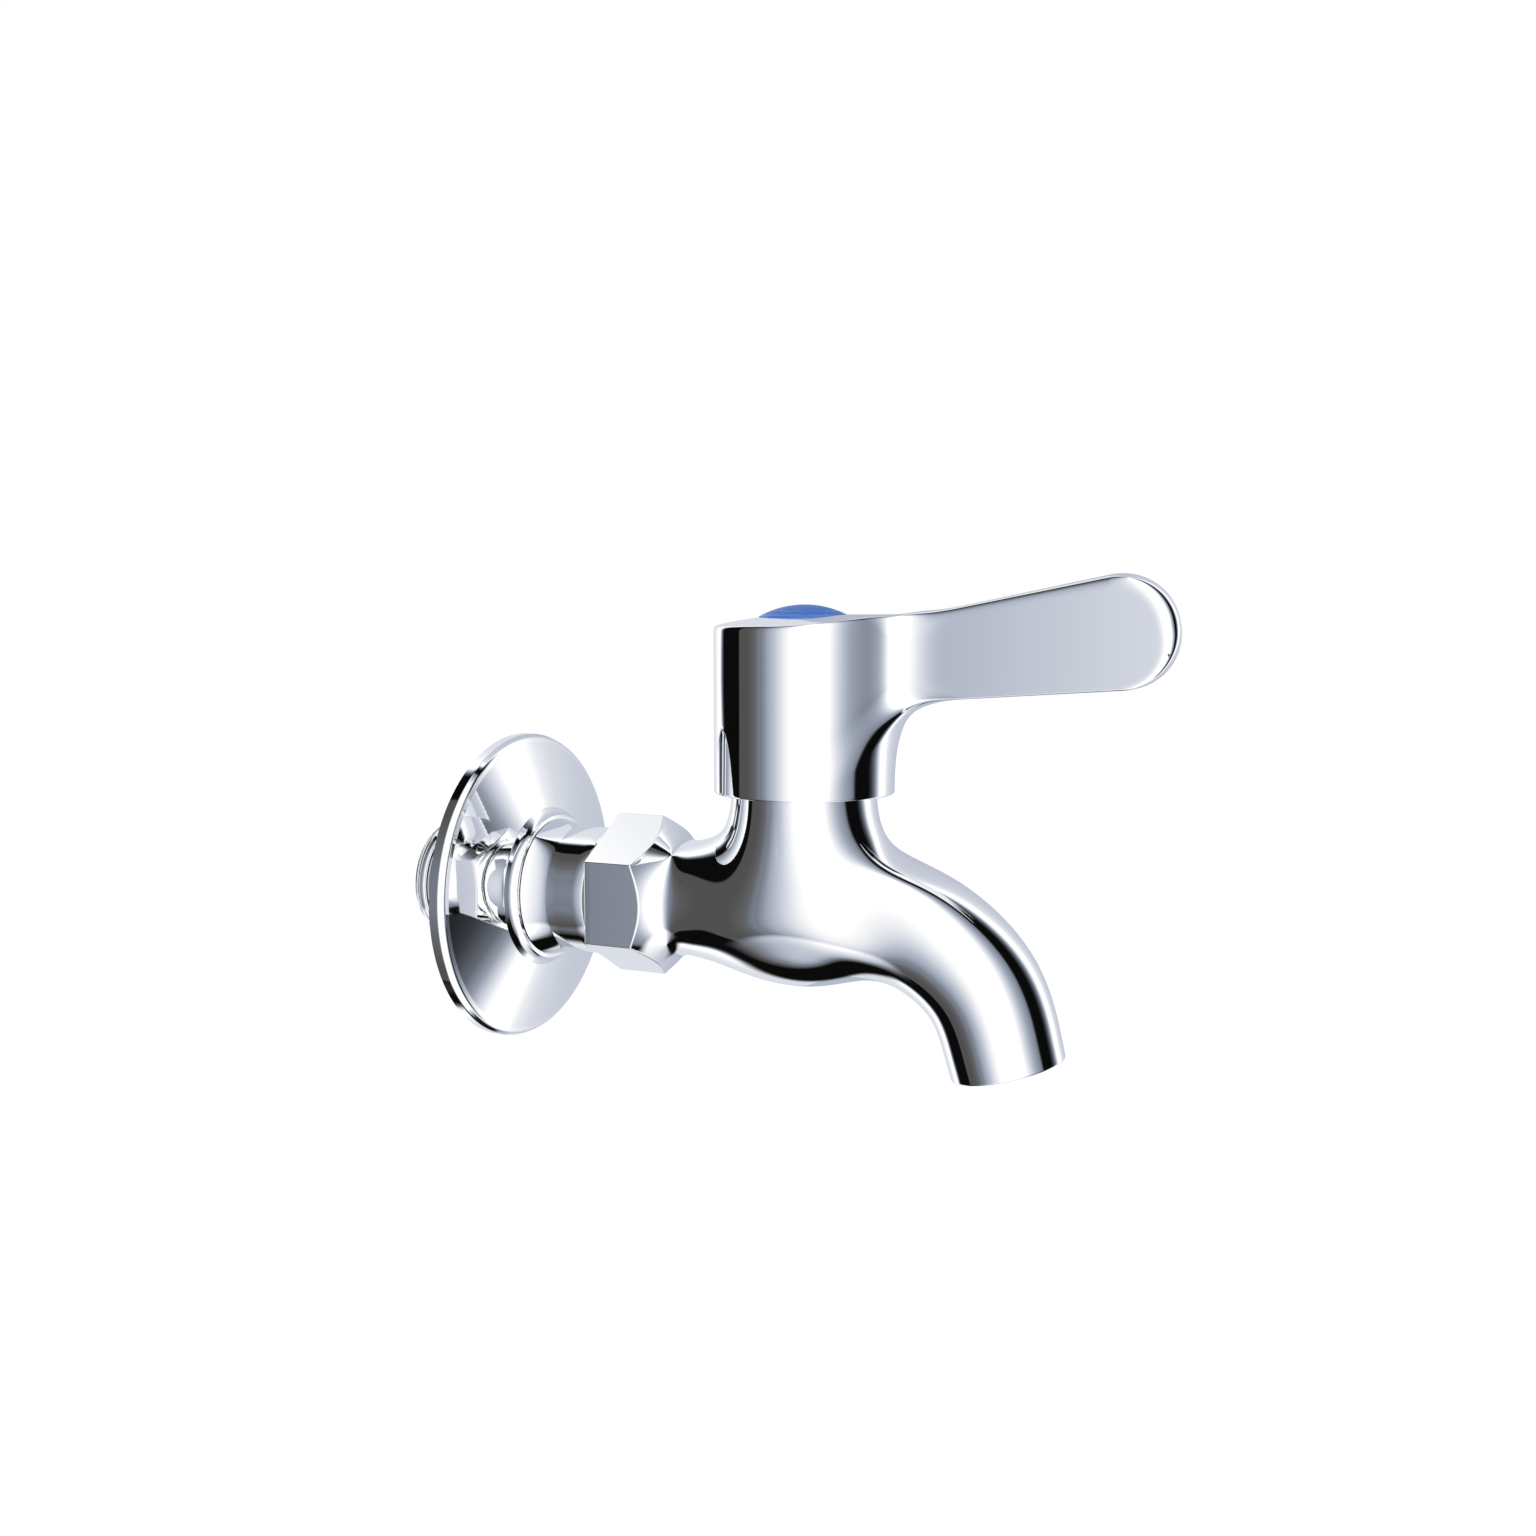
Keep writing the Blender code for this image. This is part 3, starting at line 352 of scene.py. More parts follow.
def refined(mesh, distance):
    """Splits the edges along which the surface turns quickly, so that small round edges stay round."""
    for _ in range(3):
        normals = slope_of(distance, vectors_of(mesh.vertices, "co"))
        normals /= np.linalg.norm(normals, axis=1)[:, None]
        bm = bmesh.new()
        bm.from_mesh(mesh)
        bmesh.ops.triangulate(bm, faces=bm.faces)
        ends = np.array([[vert.index for vert in edge.verts] for edge in bm.edges])
        turn = (normals[ends[:, 0]] * normals[ends[:, 1]]).sum(1)
        quick = [edge for edge, cosine in zip(bm.edges, turn) if cosine < EDGE_TURN]
        bmesh.ops.subdivide_edges(bm, edges=quick, cuts=1)
        bmesh.ops.triangulate(bm, faces=bm.faces)
        mesh = mesh_of(bm, mesh.name)
        press_onto(mesh, distance)
    return mesh


def axis_frame(axis):
    """Two directions square to an axis, and the axis itself, as rows."""
    axis = np.array(axis, float) / np.linalg.norm(axis)
    side = np.array((0.0, 1.0, 0.0))
    up = np.cross(axis, side)
    return side, up, axis


def rings(distance, centre, axis, stations, angles, guess):
    """Points on a surface round an axis, one ring for each station along it."""
    side, up, axis = axis_frame(axis)
    out = np.cos(angles)[:, None] * side + np.sin(angles)[:, None] * up
    base = np.array(centre) + np.array(stations)[:, None] * axis
    base = np.repeat(base, len(angles), axis=0)
    out = np.tile(out, (len(stations), 1))
    radius = np.full(len(base), guess)
    for _ in range(12):
        here = distance(base + radius[:, None] * out)
        ahead = distance(base + (radius[:, None] + 0.00002) * out)
        radius -= here * 0.00002 / np.maximum(ahead - here, 0.000008)
    return (base + radius[:, None] * out).reshape(len(stations), len(angles), 3)


def rounded_end(last, centre, axis, edge):
    """Rings that turn from the last ring's wall to the end face, over a small round edge."""
    side, up, axis = axis_frame(axis)
    spoke = last - np.array(centre)
    spoke -= (spoke @ axis)[:, None] * axis
    spoke /= np.linalg.norm(spoke, axis=1)[:, None]
    turns = np.linspace(0, math.pi / 2, 7)[1:]
    return [last + axis * edge * math.sin(a) - spoke * edge * (1 - math.cos(a)) for a in turns]


def add_rings(bm, ring_points):
    """Adds rings of quads, closes the last one, and returns the open first ring's edges."""
    rows = [[bm.verts.new(point) for point in ring] for ring in ring_points]
    for lower, upper in zip(rows, rows[1:]):
        for i in range(len(lower)):
            bm.faces.new((lower[i - 1], lower[i], upper[i], upper[i - 1]))
    bm.faces.new(rows[-1])
    first = rows[0]
    return [bm.edges.get((first[i - 1], first[i])) for i in range(len(first))]


def cut_open(bm, place, direction):
    """Removes what is beyond a plane and returns the edges of the hole."""
    geometry = bm.verts[:] + bm.edges[:] + bm.faces[:]
    cut = bmesh.ops.bisect_plane(
        bm, geom=geometry, dist=1e-7, plane_co=place, plane_no=direction, clear_outer=True
    )["geom_cut"]
    return [item for item in cut if isinstance(item, bmesh.types.BMEdge)]


def sew(bm, first, second):
    bmesh.ops.bridge_loops(bm, edges=first + second)


def bar(bm, radius, low, high, centre=(0, 0), sides=96):
    """A round bar along Z."""
    place = Matrix.Translation((*centre, (low + high) / 2))
    size = {"segments": sides, "radius1": radius, "radius2": radius, "depth": high - low}
    bmesh.ops.create_cone(bm, cap_ends=True, matrix=place, **size)


def bar_between(bm, start, end, radius, sides=96):
    start, end = Vector(start), Vector(end)
    turn = Vector((0, 0, 1)).rotation_difference(end - start).to_matrix().to_4x4()
    place = Matrix.Translation((start + end) / 2) @ turn
    size = {"segments": sides, "radius1": radius, "radius2": radius, "depth": (end - start).length}
    bmesh.ops.create_cone(bm, cap_ends=True, matrix=place, **size)


def boolean(mesh, cutter_bm, operation="DIFFERENCE"):
    cutter = bpy.data.objects.new("cutter", mesh_of(cutter_bm, "cutter"))
    bpy.context.scene.collection.objects.link(cutter)
    result = with_modifier(mesh, "BOOLEAN", operation=operation, object=cutter, solver="MANIFOLD")
    bpy.data.objects.remove(cutter)
    return result


def set_normals(mesh, distance):
    """Smooth shading that takes its direction from the distance wherever a corner lies on its surface."""
    mesh.shade_smooth()
    mesh.set_sharp_from_angle(angle=math.radians(28))
    normals = vectors_of(mesh.corner_normals, "vector")
    points = vectors_of(mesh.vertices, "co")
    slope = slope_of(distance, points)
    slope /= np.linalg.norm(slope, axis=1)[:, None]
    on_surface = np.abs(distance(points)) < 0.000003
    corners = np.empty(len(mesh.loops), np.int32)
    mesh.loops.foreach_get("vertex_index", corners)
    counts = np.empty(len(mesh.polygons), np.int32)
    mesh.polygons.foreach_get("loop_total", counts)
    faces = np.repeat(vectors_of(mesh.polygon_normals, "vector"), counts, axis=0)
    agree = (faces * slope[corners]).sum(1) > 0.8
    take = on_surface[corners] & agree
    normals[take] = slope[corners][take]
    store_normals(mesh, normals)


def store_normals(mesh, normals):
    layer = mesh.attributes.new("custom_normal", "FLOAT_VECTOR", "CORNER")
    layer.data.foreach_set("vector", normals.astype(np.float32).ravel())
    mesh.update()


def piece(name, mesh, body, slot, material, *nodes):
    """Puts a finished mesh in the scene, on its body, in place of its CAD nodes."""
    mesh.name = name
    mesh.materials.clear()
    mesh.materials.append(material)
    obj = bpy.data.objects.new(name, mesh)
    bpy.context.scene.collection.objects.link(obj)
    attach(obj, body)
    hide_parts(*nodes)
    return obj


def outlet():
    """Centre of the outlet's rim and the way the water leaves."""
    way = np.array((math.sin(OUTLET_TILT), 0.0, -math.cos(OUTLET_TILT)))
    x, z, _ = CAST_LINE[-1]
    return np.array((x, 0.0, z)), way


def hexagon_angles(count=384):
    """Angles round the inlet axis, closer together at the hexagon's corners."""
    even = 2 * math.pi * np.arange(count) / count
    return even + 0.7 * np.sin(6 * even) / 6


def hexagon_stations():
    """Distances in front of the hexagon's back, close together where the cove cuts the flats."""
    flats = np.linspace(HEX_BACK_X + HEX_EDGE, HEX_FRONT_X - 0.0004, 8, endpoint=False)
    cut = np.arange(HEX_FRONT_X - 0.0004, HEX_FRONT_X + 0.0020, 0.00006)
    cove = np.linspace(HEX_FRONT_X + 0.0020, HEX_JOIN_X, 24)
    return np.concatenate([flats, cut, cove]) - HEX_JOIN_X


def waterway_mesh(points):
    """A round bar through (x, z, radius) points, as rings about a smooth line."""
    rows = carried_on(points, 1)
    place = np.linspace(0, len(rows) - 3, 8 * (len(points) - 1) + 1)
    line, along = spline(rows, place), spline(rows, place, 1)
    bm = bmesh.new()
    angles = 2 * math.pi * np.arange(64) / 64
    ring_points = []
    for (x, z, radius), (dx, dz, _) in zip(line, along):
        across = np.array((-dz, 0.0, dx)) / math.hypot(dx, dz)
        spoke = np.cos(angles)[:, None] * across + np.sin(angles)[:, None] * np.array((0.0, 1.0, 0.0))
        ring_points.append(np.array((x, 0.0, z)) + radius * spoke)
    add_rings(bm, ring_points)
    bmesh.ops.holes_fill(bm, edges=[edge for edge in bm.edges if edge.is_boundary])
    return bm


def tap_body_mesh():
    """The casting: hexagon, belly, neck and spout, with its bores."""
    rough = bmesh.new()
    for place in np.linspace(4, len(CAST_ROWS) - 6, 60):
        x, z, radius = spline(CAST_ROWS, np.array([place]))[0]
        matrix = Matrix.Translation((x, 0, z))
        bmesh.ops.create_icosphere(rough, subdivisions=3, radius=radius, matrix=matrix)
    bar(rough, NECK_R, 0, BODY_HIGH.z + 0.002, (VALVE_X, 0))
    form = skin(mesh_of(rough, "tap_body"), cast_distance, CAST_CELL)

    tip, way = outlet()
    bm = bmesh.new()
    bm.from_mesh(form)
    hexagon_hole = cut_open(bm, (HEX_JOIN_X, 0, 0), (-1, 0, 0))
    spout_hole = cut_open(bm, tip - way * SPOUT_JOIN, way)
    neck_hole = cut_open(bm, (0, 0, BODY_HIGH.z), (0, 0, 1))
    bmesh.ops.holes_fill(bm, edges=neck_hole)

    stations = hexagon_stations()[::-1]
    shape = rings(hexagon_distance, (HEX_JOIN_X, 0, 0), (1, 0, 0), stations, hexagon_angles(), 0.0105)
    back = rounded_end(shape[-1], (HEX_BACK_X, 0, 0), (-1, 0, 0), HEX_EDGE)
    sew(bm, hexagon_hole, add_rings(bm, [*shape, *back]))

    stations = np.linspace(-SPOUT_JOIN, -EDGE_ROUND, 60)
    angles = 2 * math.pi * np.arange(FINE_ROUND) / FINE_ROUND
    shape = rings(cast_distance, tip, way, stations, angles, 0.0085)
    rim = rounded_end(shape[-1], tip, way, EDGE_ROUND)
    sew(bm, spout_hole, add_rings(bm, [*shape, *rim]))
    mesh = mesh_of(bm, "tap_body")

    boss = bmesh.new()
    bar_between(boss, (HEX_BACK_X - BOSS_LENGTH, 0, 0), (HEX_BACK_X + 0.002, 0, 0), BOSS_R, FINE_ROUND)
    mesh = boolean(mesh, boss, "UNION")
    for cutter in body_bores(tip, way):
        mesh = boolean(mesh, cutter)
    set_normals(mesh, body_distance)
    return mesh


def body_distance(points):
    near_hexagon = points[:, 0] < HEX_JOIN_X + 0.00001
    result = cast_distance(points)
    result[near_hexagon] = hexagon_distance(points[near_hexagon])
    return result


def body_bores(tip, way):
    """The shank's socket, the waterway in, the seat port, the valve chamber and the waterway out."""
    socket = bmesh.new()
    bar_between(socket, (HEX_BACK_X - 0.003, 0, 0), (SOCKET_END_X, 0, 0), SOCKET_R)
    inlet = waterway_mesh(
        [
            (0.0250, 0.0000, WATERWAY_R),
            (0.0360, 0.0000, WATERWAY_R),
            (0.0420, -0.0020, 0.0061),
            (0.0480, -0.0042, CHAMBER_BORE_R),
            (VALVE_X + 0.0005, LOWER_CHAMBER_Z, CHAMBER_BORE_R),
        ]
    )
    port = bmesh.new()
    bar(port, PORT_R, LOWER_CHAMBER_Z, SEAT_Z + 0.001, (VALVE_X, 0))
    chamber = bmesh.new()
    bar(chamber, CHAMBER_R, SEAT_Z, BODY_HIGH.z + 0.002, (VALVE_X, 0))
    way_out = waterway_mesh(
        [
            (VALVE_X + 0.0030, 0.0104, 0.0056),
            (VALVE_X + 0.0085, 0.0066, 0.0056),
            (0.0682, 0.0008, 0.0058),
            (0.0748, -0.0040, 0.0060),
            (0.0806, -0.0092, 0.0061),
            (0.0844, -0.0157, 0.0062),
            (tip[0], tip[2], OUTLET_BORE_R),
            (tip[0] + way[0] * 0.004, tip[2] + way[2] * 0.004, OUTLET_BORE_R),
        ]
    )
    return socket, inlet, port, chamber, way_out


def lever_handle_mesh():
    """Hub and paddle in one casting, hollow below and recessed above for its screw and button."""
    rough = bmesh.new()
    bar(rough, HUB_R, HANDLE_LOW.z - 0.003, CROWN_TOP_Z, (VALVE_X, 0))
    for part in np.linspace(0, 1, 24):
        x, z = (1 - part) * np.array(PADDLE_ROOT) + part * np.array(PADDLE_TIP)
        radius = PADDLE_ROOT_R + (PADDLE_TIP_R - PADDLE_ROOT_R) * part
        half = PADDLE_THICKNESS / 2
        bar_between(rough, (x, -half, z), (x, half, z), radius, 48)
    form = skin(mesh_of(rough, "lever_handle"), handle_distance, HANDLE_CELL)

    bm = bmesh.new()
    bm.from_mesh(form)
    hole = cut_open(bm, (VALVE_X, 0, HUB_JOIN_Z), (0, 0, -1))
    low = HANDLE_LOW.z
    stations = np.linspace(HUB_JOIN_Z - low, EDGE_ROUND, 12)
    angles = 2 * math.pi * np.arange(FINE_ROUND) / FINE_ROUND
    shape = rings(handle_distance, (VALVE_X, 0, low), (0, 0, 1), stations, angles, 0.0145)
    rim = rounded_end(shape[-1], (VALVE_X, 0, low), (0, 0, -1), EDGE_ROUND)
    sew(bm, hole, add_rings(bm, [*shape, *rim]))
    mesh = mesh_of(bm, "lever_handle")
    for cutter in handle_bores(low):
        mesh = boolean(mesh, cutter)
    set_normals(mesh, handle_distance)
    return mesh


def handle_bores(low):
    """The skirt round its inner boss, the bush's socket, the button's recess and the screw's hole."""
    centre = (VALVE_X, 0)
    skirt = turned_bm(
        [
            (0, HUB_BOSS_Z, 0),
            (HUB_BOSS_R, HUB_BOSS_Z, 0.0003),
            (HUB_BOSS_R, SKIRT_ROOF_Z, 0.0005),
            (SKIRT_BORE_R, SKIRT_ROOF_Z, 0.0008),
            (SKIRT_BORE_R, low - 0.002, 0),
            (0, low - 0.002, 0),
        ],
        centre,
    )
    socket = bmesh.new()
    bar(socket, BUSH_SOCKET_R, HUB_BOSS_Z - 0.001, SOCKET_ROOF_Z, centre, 6)
    recess = bmesh.new()
    bar(recess, RECESS_R, RECESS_Z, CROWN_TOP_Z + 0.002, centre, FINE_ROUND)
    hole = bmesh.new()
    bar(hole, SCREW_HOLE_R, SOCKET_ROOF_Z - 0.001, RECESS_Z + 0.001, centre, 48)
    return skirt, socket, recess, hole


def rounded(corners, closed):
    """Samples of a profile (point, outward direction), with each corner rounded to its own radius."""
    corners = [(np.array(c[:2], float), c[2]) for c in corners]
    count = len(corners)
    samples = []
    for i, (corner, edge) in enumerate(corners):
        if not closed and i in (0, count - 1):
            other = corners[1][0] if i == 0 else corners[-2][0]
            way = (other - corner) if i == 0 else (corner - other)
            way = way / np.linalg.norm(way)
            samples.append((corner, np.array((-way[1], way[0]))))
            continue
        into = corner - corners[i - 1][0]
        out = corners[(i + 1) % count][0] - corner
        start = math.atan2(into[1], into[0])
        turn = (math.atan2(out[1], out[0]) - start + math.pi) % (2 * math.pi) - math.pi
        into, out = into / np.linalg.norm(into), out / np.linalg.norm(out)
        if edge == 0 or abs(turn) < 0.001:
            samples.append((corner, np.array((-into[1], into[0]))))
            samples.append((corner, np.array((-out[1], out[0]))))
            continue
        back = edge * math.tan(abs(turn) / 2)
        side = math.copysign(1.0, turn)
        middle = corner - into * back + side * edge * np.array((-into[1], into[0]))
        for part in np.linspace(0, 1, max(4, math.ceil(abs(turn) / 0.16))):
            angle = start + turn * part
            left = np.array((-math.sin(angle), math.cos(angle)))
            samples.append((middle - side * edge * left, left))
    if closed:
        samples.append(samples[0])
    return samples


def turned_bm(corners, centre, closed=False, sides=96):
    bm = bmesh.new()
    mesh = turned(corners, closed, sides)
    mesh.transform(Matrix.Translation((*centre, 0)))
    bm.from_mesh(mesh)
    return bm


def turned(corners, closed=False, sides=FINE_ROUND):
    """A profile of (radius, height, edge radius) corners turned about Z, with exact normals."""
    samples = rounded(corners, closed)
    angles = 2 * math.pi * np.arange(sides) / sides
    bm_points, starts, normals, faces = [], [], [], []
    last = None
    for point, _ in samples:
        if last is not None and np.linalg.norm(point - last) < 1e-9:
            starts.append(starts[-1])
            continue
        starts.append(len(bm_points))
        if point[0] < 1e-9:
            bm_points.append((0, 0, point[1]))
        else:
            bm_points.extend((point[0] * math.cos(a), point[0] * math.sin(a), point[1]) for a in angles)
        last = point
    if closed:
        starts[-1] = starts[0]
    for (start, first), (end, second), a, b in zip(samples, samples[1:], starts, starts[1:]):
        if a == b:
            continue
        for i in range(sides):
            j = (i + 1) % sides
            face, ways = [], []
            for base, radius, way, k in (
                (a, start[0], first, i),
                (b, end[0], second, i),
                (b, end[0], second, j),
                (a, start[0], first, j),
            ):
                index = base if radius < 1e-9 else base + k
                if index in face:
                    continue
                angle = angles[k]
                face.append(index)
                ways.append((way[0] * math.cos(angle), way[0] * math.sin(angle), way[1]))
            faces.append(face)
            normals.extend(ways)
    mesh = bpy.data.meshes.new("turned")
    mesh.from_pydata(bm_points, [], faces)
    mesh.shade_smooth()
    store_normals(mesh, np.array(normals))
    return mesh


def laid_on_inlet(mesh):
    """Turns a mesh made about Z so that its height runs along +X."""
    mesh.transform(Matrix.Rotation(math.pi / 2, 4, "Y"))
    return mesh


def wall_flange_mesh():
    """A pressed shell: straight rim, round lip, shallow dome, and a collar that ends in a bead."""
    dome = []
    for part in np.linspace(0, 1, 16):
        radius = FLANGE_LIP_R + (COLLAR_FOOT_R - FLANGE_LIP_R) * part
        rise = math.tan(FLANGE_SLOPE) * (FLANGE_LIP_R - radius) * (1.08 - 0.08 * part)
        dome.append((radius, FLANGE_LIP_X + rise, 0.04))
    dome[0] = (*dome[0][:2], 0.0005)
    dome[-1] = (*dome[-1][:2], 0.0005)
    front = [(FLANGE_R, 0, 0.0001), (FLANGE_R, FLANGE_LIP_X - 0.0011, 0.0006)]
    front += [(FLANGE_R - 0.0005, FLANGE_LIP_X - 0.0002, 0.0006)]
    front += dome
    front += [
        (COLLAR_R + 0.0004, COLLAR_END_X - 0.0012, 0.0020),
        (COLLAR_R + 0.0001, COLLAR_END_X - 0.0006, 0.0001),
        (COLLAR_R + 0.0003, COLLAR_END_X - 0.0005, 0.0001),
        (COLLAR_R + 0.0003, COLLAR_END_X - 0.0001, 0.0001),
        (COLLAR_R - 0.0001, COLLAR_END_X, 0.0001),
        (COLLAR_BORE_R, COLLAR_END_X, 0.0001),
    ]
    back = [(COLLAR_BORE_R, 0.0032, 0), (GRIP_SEAT_R, 0.0032, 0)]
    back += [(radius - 0.0004, height - 0.0012, 0.02) for radius, height, _ in reversed(dome[2:-3])]
    back += [(FLANGE_R - 0.0012, 0.0005, 0), (FLANGE_R - 0.0012, 0, 0)]
    return laid_on_inlet(turned(list(reversed(front + back)), closed=True))


def thread_radius(x, turn):
    """The G thread's rounded profile at a place along the inlet axis and a turn from 0 to 1."""
    height = 0.960491 * THREAD_PITCH
    phase = (x / THREAD_PITCH - turn) % 1
    radius = THREAD_MINOR_R - height / 6 + height * (1 - np.abs(2 * phase - 1))
    rounding = 0.35 * THREAD_PITCH
    radius = blend(radius, np.full_like(radius, THREAD_MAJOR_R), rounding)
    radius = trim(radius, np.full_like(radius, THREAD_MINOR_R), rounding)
    lead_in = THREAD_MINOR_R - 0.0002 + (x - SHANK_LOW.x) * 0.9
    run_out = np.clip((x - THREAD_END_X + 0.0012) / 0.0014, 0, 1)
    radius = blend(radius, lead_in, 0.0003)
    return radius + (BARREL_R - radius) * run_out**2 * (3 - 2 * run_out)


def inlet_shank_mesh():
    """Threaded stub, smooth barrel with a flared shoulder, and the spigot inside the hexagon."""
    fall = SHOULDER_R - BARREL_R
    sides = 192
    samples = []
    for x in np.arange(SHANK_LOW.x + 0.00002, THREAD_END_X + 0.0003, 0.00006):
        samples.append((x, None))
    samples += [(SHOULDER_X - 0.0008, BARREL_R), (SHOULDER_X - 0.0006, BARREL_R)]
    for part in np.linspace(0, 1, 24):
        x = SHOULDER_X - 0.0004 + SHOULDER_LENGTH * part
        samples.append((x, BARREL_R + fall * (1 - part) ** SHOULDER_POWER))
    samples += [(x, BARREL_R) for x in np.linspace(0.0135, BARREL_END_X - 0.0003, 4)]
    samples += [(BARREL_END_X - 0.00008, BARREL_R - 0.00008), (BARREL_END_X, BARREL_R - 0.0003)]
    samples += [(BARREL_END_X + 0.00001, SPIGOT_R), (SHANK_HIGH.x - 0.0005, SPIGOT_R)]
    samples += [(SHANK_HIGH.x, SPIGOT_R - 0.0005), (SHANK_HIGH.x, WATERWAY_R)]
    samples += [(x, WATERWAY_R) for x in np.linspace(SHANK_HIGH.x, SHANK_LOW.x, 8)[1:]]
    turn = np.arange(sides) / sides
    bm = bmesh.new()
    rows = []
    for x, radius in samples:
        radii = np.full(sides, radius) if radius is not None else thread_radius(np.full(sides, x), turn)
        angles = 2 * math.pi * turn
        rows.append([bm.verts.new((x, r * math.sin(a), r * math.cos(a))) for r, a in zip(radii, angles)])
    for lower, upper in zip(rows, rows[1:] + rows[:1]):
        for i in range(sides):
            bm.faces.new((lower[i - 1], lower[i], upper[i], upper[i - 1]))
    mesh = mesh_of(bm, "inlet_shank")
    mesh.shade_smooth()
    mesh.set_sharp_from_angle(angle=math.radians(40))
    return mesh


def index_button_mesh():
    """A domed cap with a rounded rim, hollow underneath."""
    low = BUTTON_LOW.z
    rim = BUTTON_TOP_Z - 0.0019
    rise = BUTTON_TOP_Z - rim
    sphere_r = (BUTTON_R**2 + rise**2) / (2 * rise)
    half = math.asin(BUTTON_R / sphere_r)
    dome = []
    for angle in np.linspace(0, half, 14):
        dome.append((sphere_r * math.sin(angle), BUTTON_TOP_Z - sphere_r * (1 - math.cos(angle)), 0.02))
    dome[-1] = (*dome[-1][:2], 0.0004)
    corners = dome + [(BUTTON_R, low, 0.0001), (BUTTON_R - 0.0010, low, 0.0001)]
    corners += [(BUTTON_R - 0.0010, rim - 0.0004, 0.0003), (0, rim + 0.0005, 0)]
    mesh = turned(corners, sides=128)
    mesh.transform(Matrix.Translation((VALVE_X, 0, 0)))
    return mesh


def new_material(name, colour, metallic, roughness):
    material = bpy.data.materials.new(name)
    material.use_nodes = True
    nodes, links = material.node_tree.nodes, material.node_tree.links
    shader = nodes["Principled BSDF"]
    shader.inputs["Base Color"].default_value = (*colour, 1)
    shader.inputs["Metallic"].default_value = metallic
    shader.inputs["Roughness"].default_value = roughness
    return material, nodes, links, shader


def noise(nodes, links, coordinates, scale, detail=2.0):
    """A noise texture on the given coordinates."""
    texture = nodes.new("ShaderNodeTexNoise")
    texture.inputs["Scale"].default_value = scale
    texture.inputs["Detail"].default_value = detail
    links.new(coordinates, texture.inputs["Vector"])
    return texture.outputs["Fac"]


def spread(nodes, links, value, low, high):
    """A value from 0.3 to 0.7 brought to the range low to high."""
    mapped = nodes.new("ShaderNodeMapRange")
    mapped.inputs["From Min"].default_value = 0.3
    mapped.inputs["From Max"].default_value = 0.7
    mapped.inputs["To Min"].default_value = low
    mapped.inputs["To Max"].default_value = high
    links.new(value, mapped.inputs["Value"])
    return mapped.outputs["Result"]


def bump(nodes, links, shader, height, strength, distance=0.00001):
    node = nodes.new("ShaderNodeBump")
    node.inputs["Strength"].default_value = strength
    node.inputs["Distance"].default_value = distance
    links.new(height, node.inputs["Height"])
    links.new(node.outputs["Normal"], shader.inputs["Normal"])


def object_coordinates(nodes, links, stretch=EVEN):
    source = nodes.new("ShaderNodeTexCoord")
    mapping = nodes.new("ShaderNodeMapping")
    mapping.inputs["Scale"].default_value = stretch
    links.new(source.outputs["Object"], mapping.inputs["Vector"])
    return mapping.outputs["Vector"]


def chrome(name, stretch, grain_scale):
    """Polished chrome plate: faint polishing lines, and a gloss that varies a little over the surface."""
    material, nodes, links, shader = new_material(name, (1.0, 1.0, 1.0), 1.0, 0.03)
    place = object_coordinates(nodes, links)
    cloudy = noise(nodes, links, place, 90.0, 3.0)
    links.new(spread(nodes, links, cloudy, 0.015, 0.05), shader.inputs["Roughness"])
    lines = noise(nodes, links, object_coordinates(nodes, links, stretch), grain_scale, 3.0)
    bump(nodes, links, shader, lines, 0.02, 0.000002)
    return material


def machined(name, colour, metallic, low, high, stretch, grain_scale, depth):
    """A turned or moulded finish: fine lines or grain, with colour and gloss that vary a little."""
    material, nodes, links, shader = new_material(name, colour, metallic, low)
    grain = noise(nodes, links, object_coordinates(nodes, links, stretch), grain_scale, 4.0)
    cloudy = noise(nodes, links, object_coordinates(nodes, links), 160.0, 3.0)
    darker = (*[0.86 * c for c in colour], 1)
    lighter = (*[min(1, 1.10 * c) for c in colour], 1)
    links.new(mixed(nodes, links, cloudy, darker, lighter), shader.inputs["Base Color"])
    links.new(spread(nodes, links, grain, low, high), shader.inputs["Roughness"])
    bump(nodes, links, shader, grain, 0.4, depth)
    return material


def glowing_blue_plastic():
    """Smooth blue plastic with a painted glow: it shines a little by emission, though it is no lamp, bright
    enough to read as plain blue among the chrome.
    """
    colour = (0.06, 0.20, 0.66)
    material = machined("blue_index", colour, 0.0, 0.22, 0.34, EVEN, 2500.0, 0.0000005)
    shader = material.node_tree.nodes["Principled BSDF"]
    # Painted light: the button glows faintly in its own blue, though it is no lamp.
    shader.inputs["Emission Color"].default_value = (*colour, 1)
    shader.inputs["Emission Strength"].default_value = 0.35
    return material


def finishes():
    return {
        "chrome_body": chrome("chrome_body", EVEN, 1800.0),
        "chrome_shank": chrome("chrome_shank", (1, 0.05, 0.05), 2500.0),
        "chrome_flange": chrome("chrome_flange", (1, 0.2, 0.2), 1800.0),
        "chrome_handle": chrome("chrome_handle", EVEN, 1800.0),
        "raw_brass": machined("raw_brass", (0.72, 0.52, 0.22), 1.0, 0.18, 0.34, TURNED, 3000.0, 0.00001),
        "ceramic": machined("ceramic", (0.86, 0.85, 0.80), 0.0, 0.20, 0.32, EVEN, 4000.0, 0.000004),
        "steel": machined("steel", (0.60, 0.60, 0.61), 1.0, 0.20, 0.36, TURNED, 3000.0, 0.000008),
        "rubber_seals": machined("rubber_seals", (0.03, 0.03, 0.03), 0.0, 0.55, 0.80, EVEN, 3500.0, 0.00002),
        "white_plastic": machined("white_plastic", (0.80, 0.80, 0.77), 0.0, 0.35, 0.50, EVEN, 2500.0, 0.00001),
        "blue_index": glowing_blue_plastic(),
    }


